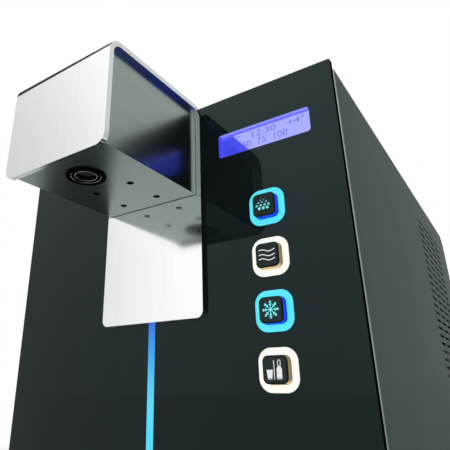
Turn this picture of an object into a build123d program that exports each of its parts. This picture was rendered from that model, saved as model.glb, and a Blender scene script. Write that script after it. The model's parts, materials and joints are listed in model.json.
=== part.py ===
"""Countertop chilled and sparkling water dispenser, in millimetres.

X runs across the cabinet, +Y runs from the spout to the rear panel and +Z is up.
The origin is on the counter, under the middle of the whole footprint.
"""
from build123d import *
import os

os.makedirs("parts", exist_ok=True)

# ------------------------------------------------------------------ cabinet sizes
cabinet_width = 330.0
body_depth = 527.0  # front face of the glass to the outer face of the rear panel
front_height = 452.0  # black glass, bottom edge to top edge
foot_height = 18.0
sheet = 1.2  # painted steel of the sides, the cover and the rear panel
pan_sheet = 1.5
pan_flange = 14.0
glass_thickness = 4.0
glass_corner = 2.0
glass_bevel = 0.4
carrier_thickness = 4.0  # aluminium plate behind the glass, seen as a bright edge
carrier_rise = 0.6  # the carrier's top edge above the cover
cover_drop = 5.5  # the cover lies this far below the top of the glass
cover_bend = 20.0  # outer radius where the cover turns down at the rear
cover_lip = 40.0  # height of the turned-down part of the cover
seam = 0.3
side_return = 12.0
foot_radius = 15.0
foot_bore = 2.7
foot_recess_radius = 6.0
foot_recess = 8.0
foot_inset_x = 25.0
foot_inset_front = 35.0
foot_inset_rear = 32.0

# ------------------------------------------------------------------ side vents
vent_length = 30.0
vent_height = 3.0
vent_columns = 4
vent_column_pitch = 39.0
vent_rows = 38
vent_row_pitch = 8.5
vent_first_y = 316.0  # glass face to the middle of the first column
vent_first_drop = 39.3  # top of the glass to the first row
rear_vent_columns = 6
rear_vent_rows = 16
rear_vent_drop = 40.0

# ------------------------------------------------------------------ spout sizes
spout_reach = 115.0  # glass face to the front of the band
spout_width = 102.0
band_thickness = 4.0
band_bend = 11.0  # outer radius of both upper bends
band_top_drop = 2.5
band_front_drop = 86.5  # lower end of the front leg below the glass top
band_front_corner = 8.0
splash_drop = 182.0  # lower end of the splash plate below the glass top
splash_corner = 5.5
housing_inset = 4.5  # side plates stand in from the edges of the band
housing_gap = 1.0
housing_drop = 83.4  # underside of the housing below the glass top
housing_sheet = 1.5
bracket_sheet = 2.0
bracket_lift = 7.4  # underside of the housing to the underside of the bracket
bracket_flange = 21.0
access_hole_radius = 2.6
access_pitch_x = 36.0
access_pitch_y = 32.7
access_setback = 36.15  # glass face to the middle of the access holes
screw_head_radius = 2.4
screw_head = 3.0
screw_shank_radius = 1.5
screw_shank = 9.0
screw_clearance = 0.1
stud_radius = 2.5
stud_clearance = 0.4
stud_length = 16.0
stud_spread = 76.0
stud_upper_drop = 20.0
stud_lower_drop = 165.0
nut_across = 8.0
nut_height = 4.0

# ------------------------------------------------------------------ nozzle sizes
nozzle_setback = 81.5  # glass face to the nozzle axis
bezel_radius = 15.0
bezel_flange = 1.4
bezel_neck_radius = 13.0
bezel_neck = 11.0
sleeve_radius = 11.5
sleeve_wall = 0.9
sleeve_recess = 0.6
core_radius = 8.0
core_recess = 0.5
diffuser_depth = 3.0
diffuser_recess = 3.5
diffuser_hole = 0.8
diffuser_ring = 5.0
diffuser_holes = 8
nozzle_height = 22.0
nozzle_cap = 4.0
barb_height = 4.0
fit_gap = 0.1

# ------------------------------------------------------------------ tubes
tube_radius = 3.0
tube_wall = 0.8
tube_bend = 12.0
small_bend = 8.0
tube_pitch = 7.0
tube_drop = 40.0  # tube level below the glass top
tube_port_width = 30.0
tube_port_height = 12.0
tube_port_corner = 3.0

# ------------------------------------------------------------------ display and light strip
lcd_width = 77.7
lcd_height = 20.6
lcd_corner = 2.5
lcd_edge = 20.1  # right edge of the window to the right edge of the glass
lcd_drop = 44.9  # middle of the window below the glass top
lcd_recess = 3.0
lcd_flange = 4.0
lcd_flange_thickness = 1.0
lcd_module_margin = 3.0
lcd_module_depth = 6.0
lcd_board_margin_x = 6.0
lcd_board_margin_z = 7.0
board_thickness = 1.6
post_radius = 3.0
led_width = 6.4
led_top_drop = 178.0
led_bottom_rise = 50.0
led_flange_width = 12.0
led_flange_depth = 2.0
led_chip = 3.5
led_chip_height = 1.0
led_chip_count = 14
led_gap = 0.1

# ------------------------------------------------------------------ buttons
button_count = 4
button_edge = 58.9  # middle of the buttons to the right edge of the glass
button_first_drop = 106.4
button_pitch = 37.72
ring_size = 28.0
ring_corner = 9.0
ring_rise = 0.8
ring_gap = 0.1
ring_flange = 31.0
ring_flange_depth = 1.5
cap_size = 17.6
cap_corner = 3.8
cap_gap = 0.35
cap_rise = 6.5
cap_bevel = 1.0
cap_flange = 21.0
cap_flange_depth = 1.5
cap_stem_radius = 3.0
cap_stem = 1.7
button_travel = 1.5
stop_gap = 0.3
switch_size = 6.0
switch_height = 3.5
switch_tip_radius = 1.75
switch_tip = 0.6
button_board_width = 44.0
button_board_margin = 14.0

# ------------------------------------------------------------------ control board
control_width = 130.0
control_headroom = 4.94  # control board to the button board
control_gap = 1.8  # board to the fold of the side panel
control_rise = 45.0
control_post = 8.0
relay_size = (16.0, 14.0, 20.0)
relay_count = 5

# ------------------------------------------------------------------ drip tray
shelf_width = 212.0
shelf_sheet = 2.0
shelf_lip = 8.0
shelf_hold = 60.0  # overlap of the shelf under the base pan
tray_width = 208.0
tray_height = 28.0
tray_wall = 2.5
tray_corner = 14.0
tray_glass_gap = 3.0
tray_gap = 0.3
tray_ledge = 6.0
tray_ledge_depth = 3.0
grille_thickness = 1.5
grille_gap = 0.4
grille_slot_length = 52.0
grille_slot_width = 3.6
grille_slots_x = 3
grille_slots_y = 12
grille_pitch_x = 62.0
grille_pitch_y = 8.0

# ------------------------------------------------------------------ cold tank
tank_side_gap = 13.8  # left side panel to the tank
tank_depth = 180.0
valve_headroom = 47.7  # valves to the tubes that go to the spout
tank_setback = 65.0  # glass face to the front of the tank
tank_wall = 18.0
lid_thickness = 22.0
vessel_inset = 68.0  # inner wall of the tank to the vessel axis
vessel_setback = 155.0
vessel_radius = 44.0
vessel_headroom = 29.5  # vessel to the lid
vessel_dome = 14.0
vessel_wall = 2.0
vessel_stand_radius = 30.0
vessel_stand = 8.0
port_radius = 4.5
port_bore = 2.4
port_gap = 0.2
port_rise = 1.0
gas_port_shift = -20.0
water_port_shift = 20.0
outlet_port_shift_x = -26.0
outlet_port_shift_y = -10.0
coil_radius = 52.0
coil_tube_radius = 4.0
coil_turns = 11
coil_headroom = 49.0  # last turn to the top of the vessel
coil_rise = 14.0  # first turn above the tank's inner floor
agitator_inset = 34.0  # inner wall of the tank to the agitator axis
agitator_motor_radius = 22.0
agitator_motor_height = 50.0
shaft_radius = 3.0
shaft_fit = 0.05
shaft_well = 12.0
agitator_reach = 190.0  # shaft below the lid's top
impeller_radius = 24.0
impeller_hub_radius = 7.0
impeller_height = 14.0
impeller_blades = 4
impeller_blade = 2.0

# ------------------------------------------------------------------ valves
valve_block_width = 90.0
valve_block_depth = 57.0
valve_block_height = 24.0
valve_block_setback = 5.0  # front edge of the lid to the valve block
outlet_setback = 10.0
coil_pitch_x = 30.0
solenoid_setback = 40.0
solenoid_radius = 12.0
solenoid_height = 30.0
core_tube_radius = 6.0
core_tube_rise = 6.0

# ------------------------------------------------------------------ pump
pump_side_gap = 9.8  # right side panel to the pump
pump_tank_gap = 10.0
pump_motor_radius = 27.0
pump_motor_length = 110.0
pump_head_radius = 20.0
pump_head_length = 34.0
pump_rear_setback = 275.0  # glass face to the rear of the pump head
pump_lift = 4.0
cradle_width = 36.0
cradle_thickness = 5.0

# ------------------------------------------------------------------ cooling circuit
compressor_side_gap = 8.8  # left side panel to the mounting plate
compressor_rear_gap = 160.8  # rear panel to the compressor axis
compressor_radius = 62.0
compressor_height = 148.0
compressor_dome = 25.0
compressor_foot = 15.0
compressor_void_radius = 50.0  # sealed space inside, which gives the piece its real mass
compressor_void = 98.0
compressor_plate_width = 160.0
compressor_plate_depth = 130.0
compressor_plate = 2.5
grommet_radius = 9.0
grommet_height = 12.5
grommet_inset = 13.0
stub_radius = 4.5
stub_rise = 10.0
suction_shift = -41.0
discharge_shift = 35.0
condenser_gap = 8.0  # fins to the right side panel
condenser_rear_gap = 150.8  # rear panel to the middle of the condenser
condenser_thickness = 30.0
condenser_depth = 152.0
condenser_headroom = 175.0  # condenser to the top cover
fin_count = 26
fin_thickness = 1.2
condenser_frame = 2.0
condenser_tube_radius = 4.0
condenser_rows = 8
header_rise = 2.0
fan_rise = 130.5  # base pan to the fan axis
shroud_plate = 3.0
collar_radius = 62.0
collar_wall = 2.0
collar_depth = 22.0
spider_depth = 4.0
spider_width = 10.0
fan_motor_radius = 20.0
fan_motor_length = 30.0
blade_tip_gap = 3.0
blade_hub_radius = 17.0
blade_count = 5
blade_depth = 14.0
blade_thickness = 2.0
blade_angle = 35.0
drier_radius = 9.0
drier_length = 70.0
drier_taper = 6.0
liquid_line_gap = 15.0  # compressor plate to the liquid line
liquid_line_rise = 12.0  # above the lid
discharge_line_rise = 22.5  # above the condenser
suction_line_rise = 30.0  # above the lid
second_header_shift = 50.0

# ------------------------------------------------------------------ rear connections
water_thread_radius = 8.33
gas_thread_radius = 6.58
fitting_hex = 22.0
fitting_hex_height = 4.0
thread_length = 14.0
fitting_neck_gap = 0.2
fitting_inner = 20.0
inlet_z = 60.0
water_line_gap = 16.8  # fan to the water inlet
socket_edge = 35.8  # right side panel to the socket axis
socket_z = 60.0
socket_width = 27.0
socket_height = 20.0
socket_depth = 24.0
socket_flange_width = 34.0
socket_flange_height = 27.0
socket_flange = 2.5
cavity_width = 24.4
cavity_height = 16.4
cavity_depth = 17.0
cavity_corner = 3.0
blade_pin_width = 2.0
blade_pin_height = 5.0
blade_pin_length = 11.0
blade_pin_pitch = 7.0
switch_z = 100.0
rocker_radius = 11.0
rocker_gap = 0.4
rocker_width = 11.0
rocker_pivot_depth = 4.0
rocker_face = 7.0
rocker_tilt = 9.0
switch_body_width = 17.0
switch_body_height = 28.0
switch_body_depth = 20.0
trunnion_radius = 1.6
trunnion_fit = 0.05
trunnion_length = 1.5
rear_screw_head_radius = 3.6
rear_screw_head = 2.2
rear_screw_shank_radius = 1.9
rear_screw_shank = 9.0
rear_screw_inset = 8.0

# ------------------------------------------------------------------ shared places
fitting_reach = fitting_hex_height + thread_length
half_width = cabinet_width / 2
x_inner = half_width - sheet
y_front = -(spout_reach + body_depth + fitting_reach) / 2
y_glass = y_front + spout_reach
y_glass_back = y_glass + glass_thickness
y_carrier_back = y_glass_back + carrier_thickness
y_rear = y_glass + body_depth
y_rear_inner = y_rear - sheet
z_base = foot_height
z_pan = z_base + pan_sheet
z_top = z_base + front_height
z_cover = z_top - cover_drop
carrier_top = z_cover + carrier_rise
lip_bottom = z_cover - cover_lip
lcd_place = (half_width - lcd_edge - lcd_width / 2, z_top - lcd_drop)
button_x = half_width - button_edge
button_places = [
    (button_x, z_top - button_first_drop - row * button_pitch) for row in range(button_count)
]
led_top = z_top - led_top_drop
led_bottom = z_base + led_bottom_rise
led_length = led_top - led_bottom
led_middle = (led_top + led_bottom) / 2
stud_places = [
    (side * stud_spread / 2, z_top - drop)
    for side in (-1, 1)
    for drop in (stud_upper_drop, stud_lower_drop)
]
tube_level = z_top - tube_drop
pump_x = x_inner - pump_side_gap - pump_motor_radius
tank_left = tank_side_gap - x_inner
tank_right = pump_x - pump_motor_radius - pump_tank_gap
tank_width = tank_right - tank_left
tank_x = (tank_left + tank_right) / 2
vessel_x = tank_left + tank_wall + vessel_inset
agitator_x = tank_right - tank_wall - agitator_inset
compressor_x = compressor_side_gap + compressor_plate_width / 2 - x_inner
compressor_y = y_rear_inner - compressor_rear_gap
condenser_y = y_rear_inner - condenser_rear_gap
condenser_left = x_inner - condenser_gap - condenser_thickness
condenser_height = z_cover - condenser_headroom - z_pan
spider_left = condenser_left - shroud_plate - collar_depth - spider_depth
water_inlet_x = spider_left - water_line_gap
socket_x = x_inner - socket_edge
control_x = x_inner - side_return - control_gap - control_width / 2
nozzle_y = y_glass - nozzle_setback
housing_bottom = z_top - housing_drop
housing_outer = spout_width / 2 - housing_inset
housing_inner = housing_outer - housing_sheet
band_inner_top = z_top - band_top_drop - band_thickness
splash_front = y_glass - band_thickness
housing_front = y_front + band_thickness + housing_gap
housing_middle = (housing_front + splash_front) / 2
housing_depth = splash_front - housing_front
bracket_bottom = housing_bottom + bracket_lift
access_y = y_glass - access_setback
foot_places = [
    (side * (half_width - foot_inset_x), y)
    for side in (-1, 1)
    for y in (y_glass + foot_inset_front, y_rear - foot_inset_rear)
]
pan_middle = (y_carrier_back + y_rear_inner) / 2
pan_depth = y_rear_inner - y_carrier_back


def upright(y):
    """Plane across the cabinet at depth y, where a positive extrusion comes forward."""
    return Plane.XZ.offset(-y)


# ------------------------------------------------------------------ base and feet
with BuildPart() as base_pan:
    with BuildSketch(Plane.XY.offset(z_base)):
        with Locations((0, pan_middle)):
            Rectangle(2 * x_inner, pan_depth)
    extrude(amount=pan_flange)
    with BuildSketch(Plane.XY.offset(z_pan)):
        with Locations((0, pan_middle)):
            Rectangle(2 * (x_inner - pan_sheet), pan_depth - 2 * pan_sheet)
    extrude(amount=pan_flange, mode=Mode.SUBTRACT)
    with Locations(*[(x, y, z_pan) for x, y in foot_places]):
        Hole(foot_bore, depth=pan_sheet * 2)
base_pan.part.label = "base_pan"
export_step(base_pan.part, "parts/base_pan.step")

with BuildPart() as feet:
    for x, y in foot_places:
        with BuildSketch(Plane.XY):
            with Locations((x, y)):
                Circle(foot_radius)
        extrude(amount=foot_height)
    fillet(feet.edges().filter_by(GeomType.CIRCLE).group_by(Axis.Z)[0], 2.0)
    with Locations(*[(x, y, foot_height) for x, y in foot_places]):
        Hole(foot_bore, depth=foot_height)
    with BuildSketch(Plane.XY):
        with Locations(*foot_places):
            Circle(foot_recess_radius)
    extrude(amount=foot_recess, mode=Mode.SUBTRACT)
feet.part.label = "feet"
export_step(feet.part, "parts/feet.step")

with BuildPart() as foot_screws:
    for x, y in foot_places:
        with BuildSketch(Plane.XY.offset(foot_recess - screw_head)):
            with Locations((x, y)):
                Circle(foot_recess_radius - 1)
        extrude(amount=screw_head)
        with BuildSketch(Plane.XY.offset(foot_recess)):
            with Locations((x, y)):
                Circle(stud_radius)
        extrude(amount=z_pan + nut_height + 1 - foot_recess)
        with BuildSketch(Plane.XY.offset(z_pan)):
            with Locations((x, y)):
                RegularPolygon(nut_across / 2, 6, major_radius=False)
        extrude(amount=nut_height)
foot_screws.part.label = "foot_screws"
export_step(foot_screws.part, "parts/foot_screws.step")

# ------------------------------------------------------------------ front
with BuildPart() as front_glass:
    with BuildSketch(upright(y_glass_back)):
        with Locations((0, z_base + front_height / 2)):
            RectangleRounded(cabinet_width, front_height, glass_corner)
    extrude(amount=glass_thickness)
    chamfer(front_glass.faces().sort_by(Axis.Y)[0].edges(), glass_bevel)
    with BuildSketch(upright(y_glass_back)):
        with Locations(lcd_place):
            RectangleRounded(lcd_width, lcd_height, lcd_corner)
        with Locations(*button_places):
            ring_hole = ring_size + 2 * ring_gap
            RectangleRounded(ring_hole, ring_hole, ring_corner + ring_gap)
        with Locations((0, led_middle)):
            Rectangle(led_width + 2 * led_gap, led_length + 2 * led_gap)
        with Locations((0, tube_level)):
            RectangleRounded(tube_port_width, tube_port_height, tube_port_corner)
        with Locations(*stud_places):
            Circle(stud_radius + stud_clearance)
    extrude(amount=glass_thickness, mode=Mode.SUBTRACT)
front_glass.part.label = "front_glass"
export_step(front_glass.part, "parts/front_glass.step")

with BuildPart() as front_carrier:
    with BuildSketch(upright(y_carrier_back)):
        with Locations((0, (z_base + carrier_top) / 2)):
            RectangleRounded(cabinet_width, carrier_top - z_base, glass_corner)
        with Locations(lcd_place):
            lcd_opening = (lcd_width + 2 * lcd_flange + 2 * seam, lcd_height + 2 * lcd_flange + 2 * seam)
            Rectangle(*lcd_opening, mode=Mode.SUBTRACT)
        with Locations(*button_places):
            ring_opening = ring_flange + 2 * seam
            RectangleRounded(ring_opening, ring_opening, ring_corner, mode=Mode.SUBTRACT)
        with Locations((0, led_middle)):
            Rectangle(led_flange_width + 2 * seam, led_length + 2 * lcd_flange, mode=Mode.SUBTRACT)
        with Locations((0, tube_level)):
            RectangleRounded(tube_port_width, tube_port_height, tube_port_corner, mode=Mode.SUBTRACT)
        with Locations(*stud_places):
            Circle(stud_radius + stud_clearance, mode=Mode.SUBTRACT)
    extrude(amount=carrier_thickness)
front_carrier.part.label = "front_carrier"
export_step(front_carrier.part, "parts/front_carrier.step")

# ------------------------------------------------------------------ side panels with their vents
vent_middle_y = y_glass + vent_first_y + (vent_columns - 1) * vent_column_pitch / 2
vent_middle_z = z_top - vent_first_drop - (vent_rows - 1) * vent_row_pitch / 2
side_top = z_cover - sheet
return_bottom = z_pan + pan_flange
rear_top = lip_bottom - seam
rear_screw_places = [
    (side * (x_inner - rear_screw_inset), z)
    for side in (-1, 1)
    for z in (return_bottom + rear_screw_inset, (z_base + rear_top) / 2, rear_top - rear_screw_inset)
]
for side, name in ((-1, "side_panel_left"), (1, "side_panel_right")):
    with BuildPart() as side_panel:
        with BuildSketch(Plane.YZ.offset(side * half_width)) as side_outline:
            with Locations((pan_middle, (z_base + side_top) / 2)):
                Rectangle(pan_depth, side_top - z_base)
            rear_corner = side_outline.vertices().group_by(Axis.Y)[-1].sort_by(Axis.X)[-1]
            fillet(rear_corner, cover_bend - sheet)
            with Locations((vent_middle_y, vent_middle_z)):
                with GridLocations(vent_column_pitch, vent_row_pitch, vent_columns, vent_rows):
                    SlotOverall(vent_length, vent_height, mode=Mode.SUBTRACT)
        extrude(amount=-side * sheet)
        with BuildSketch(upright(y_carrier_back + sheet)):
            with Locations((side * (x_inner - side_return / 2), (return_bottom + side_top) / 2)):
                Rectangle(side_return, side_top - return_bottom)
        extrude(amount=sheet)
        with BuildSketch(upright(y_rear_inner)):
            with Locations((side * (x_inner - side_return / 2), (return_bottom + rear_top) / 2)):
                Rectangle(side_return, rear_top - return_bottom)
            with Locations(*[(x, z) for x, z in rear_screw_places if x * side > 0]):
                Circle(rear_screw_shank_radius + screw_clearance, mode=Mode.SUBTRACT)
        extrude(amount=sheet)
    side_panel.part.label = name
    export_step(side_panel.part, f"parts/{name}.step")

# ------------------------------------------------------------------ cover and rear panel
with BuildPart() as top_cover:
    with BuildSketch(Plane.YZ.offset(-half_width)) as cover_profile:
        with BuildLine():
            outer = FilletPolyline(
                (y_carrier_back, z_cover), (y_rear, z_cover), (y_rear, lip_bottom), radius=cover_bend
            )
            inner = FilletPolyline(
                (y_carrier_back, z_cover - sheet),
                (y_rear - sheet, z_cover - sheet),
                (y_rear - sheet, lip_bottom),
                radius=cover_bend - sheet,
            )
            Line(outer @ 0, inner @ 0)
            Line(outer @ 1, inner @ 1)
        make_face()
    extrude(amount=cabinet_width)
top_cover.part.label = "top_cover"
export_step(top_cover.part, "parts/top_cover.step")

with BuildPart() as rear_panel:
    with BuildSketch(upright(y_rear)):
        with Locations((0, (z_base + rear_top) / 2)):
            Rectangle(cabinet_width, rear_top - z_base)
        with Locations((0, rear_top - rear_vent_drop - (rear_vent_rows - 1) * vent_row_pitch / 2)):
            with GridLocations(vent_column_pitch, vent_row_pitch, rear_vent_columns, rear_vent_rows):
                SlotOverall(vent_length, vent_height, mode=Mode.SUBTRACT)
        with Locations((water_inlet_x, inlet_z)):
            Circle(water_thread_radius + fitting_neck_gap, mode=Mode.SUBTRACT)
        with Locations((vessel_x, inlet_z)):
            Circle(gas_thread_radius + fitting_neck_gap, mode=Mode.SUBTRACT)
        with Locations((socket_x, socket_z)):
            Rectangle(socket_width + seam, socket_height + seam, mode=Mode.SUBTRACT)
        with Locations((socket_x, switch_z)):
            Rectangle(switch_body_width + seam, switch_body_height + seam, mode=Mode.SUBTRACT)
        with Locations(*rear_screw_places):
            Circle(rear_screw_shank_radius + screw_clearance, mode=Mode.SUBTRACT)
    extrude(amount=sheet)
rear_panel.part.label = "rear_panel"
export_step(rear_panel.part, "parts/rear_panel.step")

with BuildPart() as panel_screws:
    with BuildSketch(upright(y_rear)):
        with Locations(*rear_screw_places):
            Circle(rear_screw_head_radius)
    extrude(amount=-rear_screw_head)
    with BuildSketch(upright(y_rear)):
        with Locations(*rear_screw_places):
            Circle(rear_screw_shank_radius)
    extrude(amount=rear_screw_shank)
panel_screws.part.label = "panel_screws"
export_step(panel_screws.part, "parts/panel_screws.step")

# ------------------------------------------------------------------ spout
with BuildPart() as spout_band:
    with BuildSketch(Plane.YZ.offset(-spout_width / 2)) as band_profile:
        with BuildLine():
            outer = FilletPolyline(
                (y_front, z_top - band_front_drop),
                (y_front, z_top - band_top_drop),
                (y_glass, z_top - band_top_drop),
                (y_glass, z_top - splash_drop),
                radius=band_bend,
            )
            inner = FilletPolyline(
                (y_front + band_thickness, z_top - band_front_drop),
                (y_front + band_thickness, band_inner_top),
                (splash_front, band_inner_top),
                (splash_front, z_top - splash_drop),
                radius=band_bend - band_thickness,
            )
            Line(outer @ 0, inner @ 0)
            Line(outer @ 1, inner @ 1)
        make_face()
    extrude(amount=spout_width)
    splash_corners = spout_band.edges().filter_by(Axis.Y).group_by(Axis.Z)[0]
    fillet(splash_corners, splash_corner)
    leg_corners = spout_band.edges().filter_by(Axis.Y).group_by(Axis.Y)[0]
    fillet(leg_corners, band_front_corner)
    with BuildSketch(upright(y_glass)):
        with Locations((0, tube_level)):
            RectangleRounded(tube_port_width, tube_port_height, tube_port_corner)
    extrude(amount=band_thickness, mode=Mode.SUBTRACT)
    with BuildSketch(upright(y_glass)):
        with Locations(*stud_places):
            Circle(stud_radius)
    extrude(amount=-stud_length)
spout_band.part.label = "spout_band"
export_step(spout_band.part, "parts/spout_band.step")

for side, name in ((-1, "spout_side_left"), (1, "spout_side_right")):
    with BuildPart() as spout_side:
        with BuildSketch(Plane.YZ.offset(side * housing_outer)) as side_outline:
            with Locations((housing_middle, (housing_bottom + band_inner_top) / 2)):
                Rectangle(housing_depth, band_inner_top - housing_bottom)
            upper = side_outline.vertices().group_by(Axis.Y)[-1]
            fillet(upper, band_bend - band_thickness + housing_gap)
        extrude(amount=-side * housing_sheet)
    spout_side.part.label = name
    export_step(spout_side.part, f"parts/{name}.step")

with BuildPart() as spout_bottom_plate:
    with BuildSketch(Plane.XY.offset(housing_bottom)):
        with Locations((0, housing_middle)):
            Rectangle(2 * housing_inner, housing_depth)
        with Locations((0, nozzle_y)):
            Circle(bezel_neck_radius + fit_gap, mode=Mode.SUBTRACT)
        with Locations((0, access_y)):
            with GridLocations(access_pitch_x, access_pitch_y, 2, 2):
                Circle(access_hole_radius, mode=Mode.SUBTRACT)
    extrude(amount=housing_sheet)
spout_bottom_plate.part.label = "spout_bottom_plate"
export_step(spout_bottom_plate.part, "parts/spout_bottom_plate.step")

with BuildPart() as spout_bracket:
    with BuildSketch(Plane.XY.offset(bracket_bottom)):
        with Locations((0, housing_middle)):
            Rectangle(2 * housing_inner, housing_depth)
        with Locations((0, nozzle_y)):
            Circle(bezel_neck_radius + fit_gap, mode=Mode.SUBTRACT)
        with Locations((0, access_y)):
            with GridLocations(access_pitch_x, access_pitch_y, 2, 2):
                Circle(screw_shank_radius + screw_clearance, mode=Mode.SUBTRACT)
    extrude(amount=bracket_sheet)
    with BuildSketch(Plane.XY.offset(bracket_bottom)):
        with Locations((0, splash_front - bracket_sheet / 2)):
            Rectangle(2 * housing_inner, bracket_sheet)
    extrude(amount=bracket_flange)
spout_bracket.part.label = "spout_bracket"
export_step(spout_bracket.part, "parts/spout_bracket.step")

with BuildPart() as spout_screws:
    for height, radius, length in (
        (bracket_bottom - screw_head, screw_head_radius, screw_head),
        (bracket_bottom, screw_shank_radius, screw_shank),
    ):
        with BuildSketch(Plane.XY.offset(height)):
            with Locations((0, access_y)):
                with GridLocations(access_pitch_x, access_pitch_y, 2, 2):
                    Circle(radius)
        extrude(amount=length)
    with BuildSketch(upright(y_carrier_back)):
        for place in stud_places:
            with Locations(place):
                RegularPolygon(nut_across / 2, 6, major_radius=False)
                Circle(stud_radius + fit_gap, mode=Mode.SUBTRACT)
    extrude(amount=-nut_height)
spout_screws.part.label = "spout_screws"
export_step(spout_screws.part, "parts/spout_screws.step")

# ------------------------------------------------------------------ nozzle
sleeve_bottom = housing_bottom - bezel_flange + sleeve_recess
core_bottom = sleeve_bottom + core_recess
core_top = core_bottom + nozzle_height
sleeve_inner = sleeve_radius - sleeve_wall
outlet_places = [(step * tube_pitch, nozzle_y) for step in (-1, 0, 1)]
with BuildPart() as nozzle_bezel:
    with BuildSketch(Plane.XY.offset(housing_bottom - bezel_flange)):
        with Locations((0, nozzle_y)):
            Circle(bezel_radius)
    extrude(amount=bezel_flange)
    chamfer(nozzle_bezel.edges().group_by(Axis.Z)[0], bezel_flange / 3)
    with BuildSketch(Plane.XY.offset(housing_bottom)):
        with Locations((0, nozzle_y)):
            Circle(bezel_neck_radius)
    extrude(amount=bezel_neck)
    with Locations((0, nozzle_y, housing_bottom + bezel_neck)):
        Hole(sleeve_radius)
nozzle_bezel.part.label = "nozzle_bezel"
export_step(nozzle_bezel.part, "parts/nozzle_bezel.step")

with BuildPart() as nozzle_sleeve:
    with BuildSketch(Plane.XY.offset(sleeve_bottom)):
        with Locations((0, nozzle_y)):
            Circle(sleeve_radius)
            Circle(sleeve_inner, mode=Mode.SUBTRACT)
    extrude(amount=housing_bottom + bezel_neck - sleeve_bottom)
nozzle_sleeve.part.label = "nozzle_sleeve"
export_step(nozzle_sleeve.part, "parts/nozzle_sleeve.step")

with BuildPart() as nozzle_body:
    with BuildSketch(Plane.XY.offset(core_bottom)):
        with Locations((0, nozzle_y)):
            Circle(sleeve_inner)
    extrude(amount=nozzle_height)
    with BuildSketch(Plane.XY.offset(core_bottom)):
        with Locations((0, nozzle_y)):
            Circle(core_radius)
    extrude(amount=nozzle_height - nozzle_cap, mode=Mode.SUBTRACT)
    with BuildSketch(Plane.XY.offset(core_top)):
        with Locations(*outlet_places):
            Circle(tube_radius)
    extrude(amount=barb_height)
    with Locations(*[(x, y, core_top + barb_height) for x, y in outlet_places]):
        Hole(tube_radius - tube_wall, depth=nozzle_cap + barb_height)
nozzle_body.part.label = "nozzle_body"
export_step(nozzle_body.part, "parts/nozzle_body.step")

with BuildPart() as nozzle_diffuser:
    with BuildSketch(Plane.XY.offset(core_bottom + diffuser_recess)):
        with Locations((0, nozzle_y)):
            Circle(core_radius)
            Circle(diffuser_hole, mode=Mode.SUBTRACT)
            with PolarLocations(diffuser_ring, diffuser_holes):
                Circle(diffuser_hole, mode=Mode.SUBTRACT)
    extrude(amount=diffuser_depth)
nozzle_diffuser.part.label = "nozzle_diffuser"
export_step(nozzle_diffuser.part, "parts/nozzle_diffuser.step")

# ------------------------------------------------------------------ display
lcd_across = lcd_width + 2 * lcd_flange
lcd_high = lcd_height + 2 * lcd_flange
lcd_back = y_glass_back + lcd_flange_thickness
module_back = lcd_back + lcd_module_depth
with BuildPart() as lcd_window:
    with BuildSketch(upright(lcd_back)):
        with Locations(lcd_place):
            Rectangle(lcd_across, lcd_high)
    extrude(amount=lcd_flange_thickness)
    with BuildSketch(upright(y_glass_back)):
        with Locations(lcd_place):
            RectangleRounded(lcd_width - 2 * fit_gap, lcd_height - 2 * fit_gap, lcd_corner - fit_gap)
    extrude(amount=glass_thickness - lcd_recess)
lcd_window.part.label = "lcd_window"
export_step(lcd_window.part, "parts/lcd_window.step")

board_across = lcd_width + 2 * lcd_board_margin_x
board_high = lcd_height + 2 * lcd_board_margin_z
with BuildPart() as lcd_module:
    with BuildSketch(upright(module_back)):
        with Locations(lcd_place):
            Rectangle(lcd_width + 2 * lcd_module_margin, lcd_height + 2 * lcd_module_margin)
    extrude(amount=lcd_module_depth)
    with BuildSketch(upright(module_back + board_thickness)):
        with Locations(lcd_place):
            Rectangle(board_across, board_high)
    extrude(amount=board_thickness)
    with BuildSketch(upright(module_back)):
        with Locations(lcd_place):
            with GridLocations(board_across - 3 * post_radius, board_high - 2 * post_radius, 2, 2):
                Circle(post_radius)
    extrude(amount=module_back - y_carrier_back)
lcd_module.part.label = "lcd_module"
export_step(lcd_module.part, "parts/lcd_module.step")

# ------------------------------------------------------------------ light strip
led_flange_back = y_glass_back + led_flange_depth
with BuildPart() as led_light_guide:
    with BuildSketch(upright(y_glass_back)):
        with Locations((0, led_middle)):
            Rectangle(led_width, led_length)
    extrude(amount=glass_thickness)
    with BuildSketch(upright(led_flange_back)):
        with Locations((0, led_middle)):
            Rectangle(led_flange_width, led_length + lcd_flange)
    extrude(amount=led_flange_depth)
led_light_guide.part.label = "led_light_guide"
export_step(led_light_guide.part, "parts/led_light_guide.step")

led_board_front = led_flange_back + led_chip_height
with BuildPart() as led_board:
    with BuildSketch(upright(led_board_front)):
        with Locations((0, led_middle)):
            with GridLocations(1, led_length / led_chip_count, 1, led_chip_count):
                Rectangle(led_chip, led_chip)
    extrude(amount=led_chip_height)
    with BuildSketch(upright(led_board_front + board_thickness)):
        with Locations((0, led_middle)):
            Rectangle(led_flange_width, led_length + lcd_flange)
    extrude(amount=board_thickness)
led_board.part.label = "led_board"
export_step(led_board.part, "parts/led_board.step")

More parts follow.
